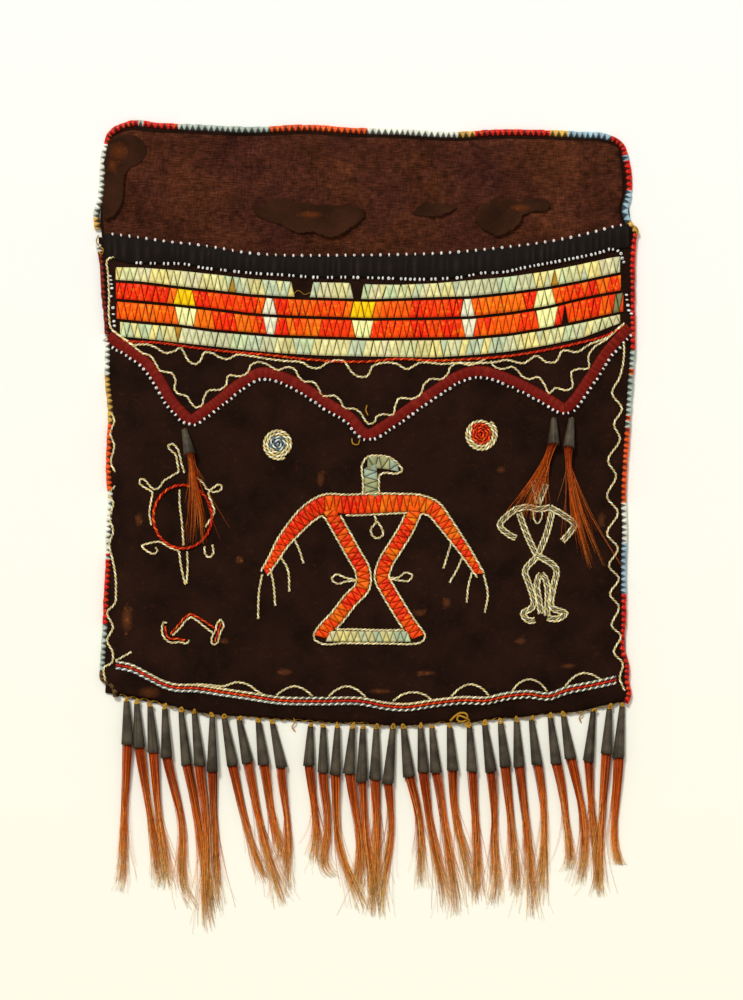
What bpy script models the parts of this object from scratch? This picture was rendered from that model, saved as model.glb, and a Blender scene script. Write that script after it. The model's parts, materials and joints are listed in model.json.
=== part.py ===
"""Flat deerskin pouch with a folded-quill band, a zigzag ribbon, quilled figures and a fringe of tin cones.

It lies on its back: +X runs across it, +Y towards its top edge and +Z out of its face. The origin is the middle of
the back panel, on the surface that the pouch lies on. Lengths are metres, and MM turns millimetres into metres.
"""

import math

import bmesh
import bpy
from mathutils import Matrix, Vector

MM = 0.001

# The pouch itself
BAG_WIDTH = 264 * MM  # over the edge bindings
BAG_HEIGHT = 284 * MM  # bottom corners to top edge
HIDE = 1.2 * MM  # thickness of each deerskin panel
CLOTH = 0.6 * MM  # thickness of the lining cloth
SEAT = 0.3 * MM  # gap between pieces that touch
SPAN_LIFT = 1.6 * SEAT  # the same, for long pieces whose straight stations span the curve of the face
LOFT = 6.6 * MM  # how far the front panel stands off the back one, beyond its seams
SIDE_FALL = 26 * MM  # width of the slope from the loft down to each side seam
HEM_FALL = 24 * MM  # the same, above the hem
CORNER_RADIUS = 14 * MM  # top corners of the back panel
TOP_TILT = -3.2 * MM  # how much higher the top edge is at its right end than in the middle
HEM_DIP = 12.6 * MM  # how far the hem lies below the bottom corners, in the middle
HEM_BOW = 14 * MM  # how far it rises from there to its ends
HEM_TILT = -2 * MM
MOUTH_LEVEL = 77.5 * MM  # the pocket's mouth, at its lowest point, above the middle of the bag
MOUTH_BOW = 14.3 * MM
MOUTH_TILT = 2.3 * MM
# Sideways wander of the edges of an old hide, outwards, at heights from -1 at the bottom to 1 at the top
LEFT_WANDER = [(-1.1, 1), (-0.75, -1), (-0.3, -2.4), (0.05, -2.4), (0.45, -0.6), (0.68, 3), (0.8, 1.5), (1.05, 0.4)]
RIGHT_WANDER = [(-1.1, 1), (-0.8, -2), (-0.3, -2), (0, 0.2), (0.35, 1.8), (0.6, 2), (0.72, -0.6), (1.05, 0.4)]

# Edge bindings, of quill wrapped over the raw edges
BINDING_OVERHANG = 1.4 * MM  # how far a binding stands out past the hide
BINDING_SLOT = 0.5 * MM  # slack between the hide's edge and the wrap round it
BINDING_LAP = 1.1 * MM  # how far it laps onto the face
BINDING_THICKNESS = 0.8 * MM
BINDING_FOOT = 0.2 * MM  # height of its lower edge above the table
BINDING_PUCKER = 0.25 * MM  # rise of every other wrap

# Mouth binding, a black ribbon folded over the edge of the pocket
RIBBON = 0.6 * MM  # thickness of the ribbon
MOUTH_RIBBON_FACE = 10.5 * MM  # its width on the face
MOUTH_RIBBON_INSIDE = 6 * MM  # its width inside the pocket
MOUTH_RIBBON_STATION = 11 * MM
MOUTH_RIBBON_PUCKER = 0.2 * MM
MOUTH_RIBBON_INSET = 5 * MM  # its ends stop short of the side seams, where the pocket closes to nothing
LINING_INSET = 1.6 * MM  # from the hide's edge, above the mouth
LINING_POCKET_INSET = 5 * MM  # from the hide's edge, inside the pocket

# Folded-quill band, four rows of leaves below the mouth
BAND_DROP = 12.2 * MM  # top of the first row, below the mouth's edge
BAND_ROWS = [8.6 * MM, 9.5 * MM, 9.8 * MM, 9.4 * MM]
BAND_INSET = 6 * MM  # from the outer edge of the bag
QUILL_PITCH = 3.65 * MM  # length of one fold, there and back
QUILL_EDGE = 0.8 * MM  # thickness of the quillwork along its stitches
QUILL_CREST = 1.3 * MM  # and in the middle of each leaf

# Zigzag ribbon: its turns, as a share of the half width, and millimetres below the mouth's edge
ZIGZAG_WIDTH = 5.4 * MM
ZIGZAG_STATION = 9 * MM
ZIGZAG_TURNS = [
    (-0.945, 54.5), (-0.896, 57), (-0.828, 61), (-0.748, 74.8), (-0.662, 84.8), (-0.562, 74.2), (-0.441, 60.8),
    (-0.36, 58.3), (-0.275, 62), (-0.138, 73), (0.006, 87), (0.112, 79.4), (0.252, 67.5), (0.377, 59.7), (0.45, 60.5),
    (0.566, 67.9), (0.699, 80.1), (0.742, 84.1), (0.812, 75.3), (0.896, 61), (0.945, 55),
]

# Twisted quill lines
CORD_RADIUS = 0.5 * MM
WAVE_LENGTH = 18 * MM
WAVE_HEIGHT = 2.2 * MM
WAVE_INSET_LEFT = 5.2 * MM  # middle of the left wave, from the hide's edge
WAVE_INSET_RIGHT = 8.5 * MM
WAVE_GAP = 0.6 * MM  # between the zigzag ribbon and the top of the waves
WAVE_FOOT = 19 * MM  # where they end, above the hem
LINE_STATION = 8.6 * MM  # length of the straight stretches of the long lines
BORDER_RISE = 13 * MM  # the lower border, above the hem
BORDER_WIDTH = 3.2 * MM
BORDER_INSET = 9 * MM
SCALLOPS = [-0.49, -0.275, -0.078, 0.169, 0.384, 0.608, 0.809]  # their middles, as shares of the half width
SCALLOP_RISE = 7 * MM  # above the middle of the border
SCALLOP_SPAN = 15 * MM

# Figures: their centres as shares of the half width and half height, their outlines in millimetres
ROSETTE_RADIUS = 8.8 * MM
ROSETTE_COIL = 2.9 * MM  # width of one round of the coil
ROSETTE_LEFT = (-0.335, -0.104)
ROSETTE_RIGHT = (0.426, -0.07)
FIGURE_LEAF = 3 * MM  # length of half a fold in the figures
BIRD_CENTRE = (0.036, -0.577)
BIRD_WING = [(-55.5, 4), (-51, 11.5), (-42.5, 21.5), (-34.5, 30), (-25.5, 36), (-13, 38), (5, 37.5), (16, 38.5),
             (26.5, 36.5), (35, 30.5), (41, 23.5), (48.5, 14), (54.5, 3.5)]
BIRD_WING_WIDTH = [3.4, 4.6, 6.2, 7.6, 8.6, 9.6, 10, 9.6, 8.8, 7.6, 6.6, 5, 3.4]
BIRD_FLANK_LEFT = [(-20, 36), (-12.5, 21), (-6.6, 8.5), (-5, 2.5), (-7, -2.5), (-12, -11), (-23.5, -24)]
BIRD_FLANK_RIGHT = [(22, 36), (13, 20), (5.6, 7), (4, 2), (5.5, -3), (12.5, -13.5), (21, -24)]
BIRD_FLANK_WIDTH = 6.2
BIRD_BASE = [(-21, -29.4), (19.5, -29.4)]
BIRD_BASE_WIDTH = 5
BIRD_HEAD = [(-5, 44.2), (3, 44.2), (3, 50), (4.6, 55.3), (11, 54.6), (14.3, 55.4), (13.6, 58.4), (10.4, 61),
             (5.5, 61.6), (-1, 62), (-4.6, 60), (-5.4, 57), (-5, 50)]
BIRD_TALONS = [
    [(-54.6, 5), (-57, -18)], [(-51, 11.5), (-49, -12)], [(-46.8, 16.4), (-43.5, 7), (-42, -4)],
    [(-39.5, 24.5), (-35.5, 9)], [(38.5, 26.5), (34.5, 5.5)], [(44.5, 19), (38, -1.5)],
    [(50.4, 11.5), (46.5, -2), (46, -11)], [(54, 4.6), (57, -6), (55.5, -16.5)],
]
BIRD_LOOPS = [[(1, 37), (1.5, 29), (-1, 24), (2.8, 21.5), (5.6, 25), (2.5, 29)],
              [(-5, 2), (-15, 3), (-19.5, 4), (-21.5, 1.5), (-19, -0.8), (-15, 0.6)],
              [(4, 1.8), (14, 3), (17.5, 4.8), (20.5, 2.5), (17.5, -0.2), (14, 1.4)]]
RING_CENTRE = (-0.695, -0.358)
RING_WIDTH = 14.4 * MM  # half of its outline's width
RING_HEIGHT = 15.6 * MM
RING_SPINE = [(-1.4, 15.4), (-0.4, 4), (0.5, -6), (1, -15.2)]
RING_TAIL = [[(-2, -15.2), (0.2, -26), (2, -34)], [(3, -15.2), (2.6, -24), (2, -34)]]
RING_LOOPS = [
    [(-4, 15.2), (-2.2, 21.4), (-3.2, 27.5), (-7.4, 35), (-3.6, 36), (-1.4, 31), (0, 24), (1.2, 20), (2.5, 15.2)],
    [(-10.6, 10.6), (-12.2, 14.4), (-19.5, 18), (-20.8, 15), (-15.6, 12), (-13.4, 6.5)],
    [(10.8, 10.4), (13, 12.6), (18, 15.4), (20, 12.6), (14.4, 11), (13.8, 5)],
    [(-9.6, -11.4), (-20, -14.4), (-15, -19.4), (-13, -16)],
    [(11.2, -9.6), (11.2, -16.6), (14, -20), (15.6, -16), (15, -12)],
]
BOW_CENTRE = (-0.658, -0.736)
BOW_LINES = [[(-12.6, -6.2), (-0.4, 5.4), (13.4, -3)], [(-13.6, 2.4), (-12.2, -6.4), (-2.2, -7.2)],
             [(14.2, 2.2), (10.6, -8.4)]]
BOW_LINE_RADIUS = 0.9 * MM
FIGURE_CENTRE = (0.648, -0.505)
FIGURE_LINE_RADIUS = 1.05 * MM
FIGURE_LINES = [
    [(-12.4, 7), (-19.6, 11.8), (-18.4, 18.8), (-8.4, 25.6), (1.5, 25.8), (6.4, 26), (16.4, 19.2), (11.6, 10.2)],
    [(-4, 39), (0.4, 27), (2.2, 38)],
    [(-9.6, 24.4), (-2.8, 5), (-8.2, -7), (-3.4, -22), (-4.6, -29), (1.2, -28), (0.4, -14), (2.8, -6.4), (5, -14),
     (4.6, -29), (12.6, -26.6), (7.6, -22), (8.6, -6), (1.6, 4.4), (5.6, 24.4)],
]

# Tin cones, each with a bunch of deer hair crimped into its mouth
CONE_TOP_RADIUS = 1.25 * MM
CONE_RIM_RADIUS = 2.5 * MM
TIN = 0.35 * MM
CONE_RECESS = 1.4 * MM  # how deep the hair sits in the cone's mouth
THONG_RADIUS = 0.5 * MM
THONG_DROP = 0.9 * MM  # from the pivot beside the hem thong to the top of the cone
LONG_THONGS = {16: 1.6, 17: 0.7, 18: 2, 32: 0.9}  # cones of the fringe that hang lower than that, by millimetres
HEM_THONG_RADIUS = 0.4 * MM
PIVOT_HEIGHT = 1.75 * MM  # the thongs' height above the surface that the pouch lies on
HAIR_WIDTH = 2.3 * MM  # half of a tassel's width at its fullest
HAIR_DEPTH = 1.5 * MM  # half of its depth
HAIR_TIP = 0.7 * MM  # half of its width at the tip
CONE_SIDES = 7
# Hung from the hem: place as a share of the half width, then in millimetres the cone's length, the sideways lean of
# its rim, and how far the tassel's tip is to the side of the rim and below it
FRINGE = [
    (-0.912, 23.5, 0.9, -4.6, 74), (-0.872, 25, 1.9, 9, 70), (-0.822, 25.5, 2, 8.5, 66), (-0.767, 25, 1.9, 13.5, 76),
    (-0.705, 26.5, 3.2, 8.6, 66), (-0.655, 25, 3.4, 5.2, 68), (-0.587, 26, 1, 3.4, 67), (-0.542, 23.5, 5, 14, 59),
    (-0.485, 22.5, 5, 10.6, 61), (-0.413, 24, 3, 7, 45), (-0.359, 24.5, 5.4, 5.8, 68), (-0.215, 22, -0.2, 5.6, 50),
    (-0.167, 25, 0.5, 5, 54), (-0.114, 25, -0.5, 5.5, 74), (-0.057, 24.5, -1.5, 4.4, 66), (-0.017, 24, 0.2, 3, 66),
    (0.033, 24, 0, 1.6, 66), (0.095, 24, -0.8, -1, 64), (0.136, 24, 3.5, 6.5, 59), (0.2, 22, 2, 10, 69),
    (0.244, 24.5, 2.8, 9.2, 66), (0.31, 24.5, 2.4, 10, 66), (0.386, 23, 2.1, 4, 65), (0.443, 25.5, 3.7, -1.4, 71),
    (0.503, 23.5, 2.8, 7.3, 64), (0.564, 24.5, 1.9, 7.6, 68), (0.621, 25, 3.3, 2.7, 66), (0.692, 25, 3.7, 4.6, 54),
    (0.742, 22, 4, 6.9, 60), (0.855, 25.5, -1.4, 3.6, 61), (0.915, 23, -1.4, -1.2, 71), (0.964, 24, -1.6, -2.4, 54),
]
# Hung from the zigzag, on the face: from which of its three points (0 to 2), how far to its side, then as above
FACE_CONES = [(0, -3.5, 15.5, 4, 2.5, 46), (2, -5.4, 14.5, -0.6, -11, 32), (2, 3.2, 15.5, -1.4, 11, 58)]
FACE_LIFT = 0.4 * MM  # clearance of the tassels over the quilled figures

HALF_WIDTH = BAG_WIDTH / 2
HALF_HEIGHT = BAG_HEIGHT / 2
HIDE_HALF_WIDTH = HALF_WIDTH - BINDING_OVERHANG
SEAM_TOP = HIDE + SEAT + HIDE  # outer face of the front panel at its seams
CLOTH_TOP = HIDE + SEAT + CLOTH


def new_collection(name):
    made = bpy.data.collections.new(name)
    bpy.context.scene.collection.children.link(made)
    return made


for old in list(bpy.data.objects):
    bpy.data.objects.remove(old)
PARTS = new_collection("beaded_pouch")


def material(name, colour, roughness, metallic=0.0):
    made = bpy.data.materials.new(name)
    made.use_nodes = True
    shader = made.node_tree.nodes["Principled BSDF"]
    shader.inputs["Base Color"].default_value = (*colour, 1)
    shader.inputs["Roughness"].default_value = roughness
    shader.inputs["Metallic"].default_value = metallic
    return made


BLACK_HIDE = material("black_dyed_deerskin", (0.016, 0.008, 0.005), 0.85)
BROWN_CLOTH = material("brown_wool", (0.06, 0.018, 0.011), 0.95)
BLACK_SILK = material("black_silk_ribbon", (0.018, 0.013, 0.011), 0.6)
RED_SILK = material("red_silk_ribbon", (0.22, 0.012, 0.008), 0.6)
ORANGE_QUILL = material("orange_quill", (0.75, 0.09, 0.01), 0.4)
WHITE_QUILL = material("undyed_quill", (0.62, 0.56, 0.38), 0.4)
TARNISHED_TIN = material("tarnished_tin", (0.11, 0.09, 0.07), 0.5, 0.8)
YELLOW_THONG = material("smoked_thong", (0.35, 0.16, 0.03), 0.8)


def through(keys, at):
    """The value at a place on a smooth curve through (place, value) keys, level at each key."""
    at = min(max(at, keys[0][0]), keys[-1][0])
    for (a, low), (b, high) in zip(keys, keys[1:]):
        if at <= b:
            t = (at - a) / (b - a)
            return low + (high - low) * t * t * (3 - 2 * t)
    return keys[-1][1]


def side_edge(side, y):
    """The hide's left (-1) or right (+1) edge at a height."""
    wander = LEFT_WANDER if side < 0 else RIGHT_WANDER
    return math.copysign(HIDE_HALF_WIDTH + through(wander, y / HALF_HEIGHT) * MM, side)


def bowed(x, level, bow, tilt):
    """A level line bent into a parabola that rises by bow, and tilts by tilt, at the sides."""
    u = x / HALF_WIDTH
    return level + bow * u * u + tilt * u


def top_edge(x):
    return bowed(x, HALF_HEIGHT, 0, TOP_TILT)


def hem(x):
    return bowed(x, -HALF_HEIGHT - HEM_DIP, HEM_BOW, HEM_TILT)


def mouth(x):
    return bowed(x, MOUTH_LEVEL, MOUTH_BOW, MOUTH_TILT)


def face(x, y):
    """Height of the front panel's outer face: level in the middle, rounding down to the side seams and the hem."""
    side_gap = abs(side_edge(x, y)) - abs(x)
    near_side = min(max(1 - side_gap / SIDE_FALL, 0), 1)
    near_hem = min(max(1 - (y - hem(x)) / HEM_FALL, 0), 1)
    return SEAM_TOP + LOFT * (1 - max(near_side, near_hem) ** 2)


def share_point(centre, offset=(0, 0)):
    """A place on the face, from shares of the half width and height and an offset in millimetres."""
    return centre[0] * HALF_WIDTH + offset[0] * MM, centre[1] * HALF_HEIGHT + offset[1] * MM


def add_object(name, data, paint, collection=None):
    made = bpy.data.objects.new(name, data)
    (collection or PARTS).objects.link(made)
    if not data.materials:
        data.materials.append(paint)
    return made


def mesh_object(name, points, faces, paint):
    """A closed mesh from computed points, with its faces turned outwards."""
    mesh = bpy.data.meshes.new(name)
    mesh.from_pydata([tuple(p) for p in points], [], faces)
    shape = bmesh.new()
    shape.from_mesh(mesh)
    bmesh.ops.recalc_face_normals(shape, faces=shape.faces)
    shape.to_mesh(mesh)
    shape.free()
    return add_object(name, mesh, paint)


def swept(name, sections, paint, cyclic=False):
    """A solid that passes through equal closed sections, each a list of points, capped at its ends."""
    count = len(sections[0])
    points = [p for section in sections for p in section]
    last = len(sections) if cyclic else len(sections) - 1
    faces = []
    for i in range(last):
        a, b = i * count, (i + 1) % len(sections) * count
        faces += [(a + j, a + (j + 1) % count, b + (j + 1) % count, b + j) for j in range(count)]
    if not cyclic:
        faces += [tuple(range(count)), tuple(range(len(points) - count, len(points)))]
    return mesh_object(name, points, faces, paint)


def cut_sheet(name, outline, base, thickness, paint):
    """A flat sheet cut to an outline: a filled 2D curve, extruded, with its underside at base."""
    curve = bpy.data.curves.new(name, "CURVE")
    curve.dimensions = "2D"
    curve.fill_mode = "BOTH"
    curve.extrude = thickness / 2
    spline = curve.splines.new("POLY")
    spline.points.add(len(outline) - 1)
    for point, (x, y) in zip(spline.points, outline):
        point.co = (x, y, 0, 1)
    spline.use_cyclic_u = True
    made = add_object(name, curve, paint)
    made.location.z = base + thickness / 2
    return made


def tube(name, route, radius, paint, cyclic=False):
    """A thin four-sided cord along a route."""
    curve = bpy.data.curves.new(name, "CURVE")
    curve.dimensions = "3D"
    curve.bevel_depth = radius
    curve.bevel_resolution = 0
    curve.use_fill_caps = True
    spline = curve.splines.new("POLY")
    spline.points.add(len(route) - 1)
    for point, place in zip(spline.points, route):
        point.co = (*place, 1)
    spline.use_cyclic_u = cyclic
    return add_object(name, curve, paint)


def to_mesh(thing):
    """Replaces an object with a mesh object of the same evaluated shape, its ends welded."""
    bpy.context.view_layer.update()
    evaluated = thing.evaluated_get(bpy.context.evaluated_depsgraph_get())
    mesh = bpy.data.meshes.new_from_object(evaluated)
    mesh.transform(thing.matrix_world)
    shape = bmesh.new()
    shape.from_mesh(mesh)
    bmesh.ops.remove_doubles(shape, verts=shape.verts, dist=0.01 * MM)
    bmesh.ops.recalc_face_normals(shape, faces=shape.faces)
    shape.to_mesh(mesh)
    shape.free()
    name = thing.name
    bpy.data.objects.remove(thing)
    return add_object(name, mesh, mesh.materials[0] if mesh.materials else BLACK_HIDE)


def united(name, pieces):
    """One solid from pieces that overlap."""
    pieces = [to_mesh(piece) for piece in pieces]
    others = bpy.data.collections.new(name + "_joined")
    for piece in pieces[1:]:
        others.objects.link(piece)
    join = pieces[0].modifiers.new("join", "BOOLEAN")
    join.operation = "UNION"
    join.operand_type = "COLLECTION"
    join.collection = others
    join.use_self = True
    whole = to_mesh(pieces[0])
    for piece in pieces[1:]:
        bpy.data.objects.remove(piece)
    bpy.data.collections.remove(others)
    whole.name = name
    return whole


def lay_on_face(thing, lift=SEAT):
    """Drapes a flat piece over the front panel: each point rises by the height of the face below it."""
    for vertex in thing.data.vertices:
        vertex.co.z += face(vertex.co.x, vertex.co.y) + lift
    return thing


# Panels


def hide_outline(inset=0.0, steps=16):
    """The back panel's edge, from the left end of the hem, up, across and down, then back along the hem."""
    foot_left = side_edge(-1, -HALF_HEIGHT) + inset
    foot_right = side_edge(1, -HALF_HEIGHT) - inset
    radius = CORNER_RADIUS - inset
    shoulder_left = top_edge(-HIDE_HALF_WIDTH) - inset - radius
    shoulder_right = top_edge(HIDE_HALF_WIDTH) - inset - radius
    points = []
    for i in range(steps):
        y = hem(foot_left) + inset + (shoulder_left - hem(foot_left) - inset) * i / steps
        points.append((side_edge(-1, y) + inset, y))
    left = side_edge(-1, shoulder_left) + inset
    for i in range(7):
        turn = math.radians(15 * i)
        points.append((left + radius * (1 - math.cos(turn)), shoulder_left + radius * math.sin(turn)))
    right = side_edge(1, shoulder_right) - inset
    for i in range(1, steps):
        x = left + radius + (right - left - 2 * radius) * i / steps
        points.append((x, top_edge(x) - inset))
    for i in range(7):
        turn = math.radians(15 * i)
        points.append((right - radius * (1 - math.sin(turn)), shoulder_right + radius * math.cos(turn)))
    for i in range(1, steps + 1):
        y = shoulder_right + (hem(foot_right) + inset - shoulder_right) * i / steps
        points.append((side_edge(1, y) - inset, y))
    for i in range(1, steps):
        x = foot_right + (foot_left - foot_right) * i / steps
        points.append((x, hem(x) + inset))
    return points


def lining_outline():
    """The lining follows the hide, and draws in where the front panel closes over it."""
    points = []
    for x, y in hide_outline(LINING_INSET):
        if y < mouth(x):
            reach = HIDE_HALF_WIDTH - LINING_POCKET_INSET
            x = max(side_edge(-1, y) + LINING_POCKET_INSET, min(x, side_edge(1, y) - LINING_POCKET_INSET))
            y = max(y, hem(min(max(x, -reach), reach)) + LINING_POCKET_INSET)
        points.append((x, y))
    return points


def make_front_panel(columns=16, rows=12):
    """The pocket's face: a grid bent to the seams, the hem and the mouth, with the hide's thickness below it."""
    shape = bmesh.new()
    bmesh.ops.create_grid(shape, x_segments=columns, y_segments=rows, size=1)
    for vertex in shape.verts:
        across, up = vertex.co.x, (vertex.co.y + 1) / 2
        spread = math.sin(across * math.pi / 2) * 0.55 + across * 0.45
        x = spread * HIDE_HALF_WIDTH
        y = hem(x) + (mouth(x) - hem(x)) * up ** 1.4
        x = spread * abs(side_edge(across, y))
        vertex.co = (x, y, face(x, y))
    top = list(shape.faces)
    under = bmesh.ops.extrude_face_region(shape, geom=top)["geom"]
    for vertex in under:
        if isinstance(vertex, bmesh.types.BMVert):
            vertex.co.z -= HIDE
    bmesh.ops.recalc_face_normals(shape, faces=shape.faces)
    mesh = bpy.data.meshes.new("front_panel")
    shape.to_mesh(mesh)
    shape.free()
    return add_object("front_panel", mesh, BLACK_HIDE)


# Scraps of the inner hide that are left on the lining: a centre as shares, and an outline round it in millimetres
REMNANTS = {
    "hide_remnant_corner": ((-0.848, 0.82), [(-14, -21.5), (-4.5, -17.5), (-1, -5.5), (0, 4.5), (12, 11.5), (13, 16.5),
                                             (6, 20.5), (-3, 21.5), (-12, 12.5), (-16, 0.5)]),
    "hide_remnant_middle": ((-0.19, 0.718), [(-33, 1), (-25, -2), (-19, -6), (-11, -6), (0, -8), (9, -4), (22, -5),
                                             (33, 1), (29, 6), (9, 5), (-5, 6), (-22, 7)]),
    "hide_remnant_right": ((0.56, 0.732), [(-22, 0), (-15, -7), (-8, -10), (0, -8), (7, 0), (20, -2), (19, 4), (12, 6),
                                           (-2, 8), (-12, 8)]),
}

# Edge bindings


def edge_stations(start, end):
    """Places on the hide's edge between two lengths along it, at each of its corners, with the way out from each."""
    ring = [Vector(p) for p in hide_outline()]
    lengths = [0.0]
    for a, b in zip(ring, ring[1:]):
        lengths.append(lengths[-1] + (b - a).length)

    def place(at):
        k = max(j for j, length in enumerate(lengths[:-1]) if length <= at + 1e-9)
        along = (ring[k + 1] - ring[k]).normalized()
        return ring[k].lerp(ring[k + 1], (at - lengths[k]) / (lengths[k + 1] - lengths[k])), along

    edge, along = place(start)
    found = [(edge, Vector((-along.y, along.x)))]
    for i in range(1, len(ring) - 1):
        if start + 2 * MM < lengths[i] < end - 2 * MM:
            along = (ring[i + 1] - ring[i]).normalized() + (ring[i] - ring[i - 1]).normalized()
            out = Vector((-along.y, along.x)).normalized()
            found.append((ring[i], out))
    edge, along = place(end)
    return found + [(edge, Vector((-along.y, along.x)))]


def length_to(x_side, y):
    """Length along the hide's edge, from the left end of the hem, to the height y on one side."""
    ring = [Vector(p) for p in hide_outline()]
    total = 0.0
    for a, b in zip(ring, ring[1:]):
        if x_side < 0 and a.x < 0 and a.y <= y < b.y:
            return total + (b - a).length * (y - a.y) / (b.y - a.y)
        if x_side > 0 and a.x > 0 and a.y >= y > b.y and a.x > HALF_WIDTH / 2:
            return total + (b - a).length * (a.y - y) / (a.y - b.y)
        total += (b - a).length
    return total


def edge_binding(name, start, end, upper_face, paint):
    """A wrap that caps the hide's edge: down its outside to the table, and lapped onto the upper face."""
    sections = []
    for i, (edge, out) in enumerate(edge_stations(start, end)):
        pucker = BINDING_PUCKER * (i % 2)
        inner = edge - out * BINDING_LAP
        under_inner = upper_face(inner.x, inner.y) + SEAT
        under_edge = upper_face(edge.x, edge.y) + SEAT
        slot = edge + out * BINDING_SLOT
        outer = edge + out * (BINDING_OVERHANG - pucker)
        sections.append([
            (slot.x, slot.y, BINDING_FOOT),
            (outer.x, outer.y, BINDING_FOOT),
            (outer.x, outer.y, under_edge),
            (slot.x, slot.y, under_edge + BINDING_THICKNESS - pucker),
            (inner.x, inner.y, under_inner + BINDING_THICKNESS - pucker),
            (inner.x, inner.y, under_inner),
            (slot.x, slot.y, under_edge),
        ])
    return swept(name, sections, paint)


# Ribbons


def make_mouth_binding():
    """A ribbon folded over the pocket's edge, a wide leaf on the face and a narrow one inside."""
    reach = HIDE_HALF_WIDTH - MOUTH_RIBBON_INSET
    count = round(2 * reach / MOUTH_RIBBON_STATION)
    sections = []
    for i in range(count + 1):
        x = -reach + 2 * reach * i / count
        edge = mouth(x)
        pucker = MOUTH_RIBBON_PUCKER * (i % 2)
        foot = edge - MOUTH_RIBBON_FACE
        lip = edge + SEAT
        inside = edge - MOUTH_RIBBON_INSIDE
        high, low = face(x, edge) + SPAN_LIFT, face(x, edge) - HIDE - 2 * SEAT
        high_foot = face(x, foot) + SPAN_LIFT
        low_inside = face(x, inside) - HIDE - 2 * SEAT
        sections.append([
            (x, foot, high_foot), (x, foot, high_foot + RIBBON), (x, (foot + lip) / 2, high + RIBBON + pucker),
            (x, lip, high + RIBBON), (x, lip + RIBBON, (high + low) / 2), (x, lip, low - RIBBON),
            (x, inside, low_inside - RIBBON), (x, inside, low_inside), (x, lip, low), (x, lip, high),
        ])
    return swept("mouth_binding", sections, BLACK_SILK)


def smooth_route(points, step):
    """Points about a step apart on a Catmull-Rom curve through the given ones."""
    ends = [points[0]] + list(points) + [points[-1]]
    route = []
    for p0, p1, p2, p3 in zip(ends, ends[1:], ends[2:], ends[3:]):
        count = max(round(math.dist(p1, p2) / step), 1)
        for k in range(count):
            t = k / count
            route.append(tuple(
                0.5 * (2 * b + (c - a) * t + (2 * a - 5 * b + 4 * c - d) * t * t + (3 * b - a - 3 * c + d) * t ** 3)
                for a, b, c, d in zip(p0, p1, p2, p3)
            ))
    return route + [tuple(points[-1])]


def sides_of(route, widths):
    """The two borders of a flat strip of the given widths along a route."""
    left, right = [], []
    for i, (x, y) in enumerate(route):
        before, after = route[max(i - 1, 0)], route[min(i + 1, len(route) - 1)]
        along = Vector((after[0] - before[0], after[1] - before[1])).normalized()
        half = widths[i] / 2
        left.append((x - along.y * half, y + along.x * half))
        right.append((x + along.y * half, y - along.x * half))
    return left, right


def zigzag_turn(i):
    share, drop = ZIGZAG_TURNS[i]
    x = share * HALF_WIDTH
    return x, mouth(x) - drop * MM


def under_ribbon(x):
    """The zigzag ribbon's lower side, straight between its turns."""
    turns = [zigzag_turn(i) for i in range(len(ZIGZAG_TURNS))]
    x = min(max(x, turns[0][0]), turns[-1][0])
    for (ax, ay), (bx, by) in zip(turns, turns[1:]):
        if x <= bx:
            slope = (by - ay) / (bx - ax)
            return ay + slope * (x - ax) - ZIGZAG_WIDTH / 2 * math.hypot(1, slope)
    return turns[-1][1] - ZIGZAG_WIDTH / 2


def make_zigzag_ribbon():
    """A narrow ribbon sewn down in points across the face."""
    route = smooth_route([zigzag_turn(i) for i in range(len(ZIGZAG_TURNS))], ZIGZAG_STATION)
    left, right = sides_of(route, [ZIGZAG_WIDTH] * len(route))
    sections = [
        [(*a, 0), (*a, RIBBON * 0.8), ((a[0] + b[0]) / 2, (a[1] + b[1]) / 2, RIBBON * 1.5), (*b, RIBBON * 0.8), (*b, 0)]
        for a, b in zip(left, right)
    ]
    return lay_on_face(swept("zigzag_ribbon", sections, RED_SILK))


# Folded quillwork


def leaf_faces(corners, crests):
    """Three faces that raise a triangular leaf to its crest."""
    a, b, c = corners
    return [(a, b, crests), (b, c, crests), (c, a, crests)]


def middle_of(points, corners, height):
    found = sum((Vector(points[i]) for i in corners), Vector()) / len(corners)
    return found.x, found.y, height


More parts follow.
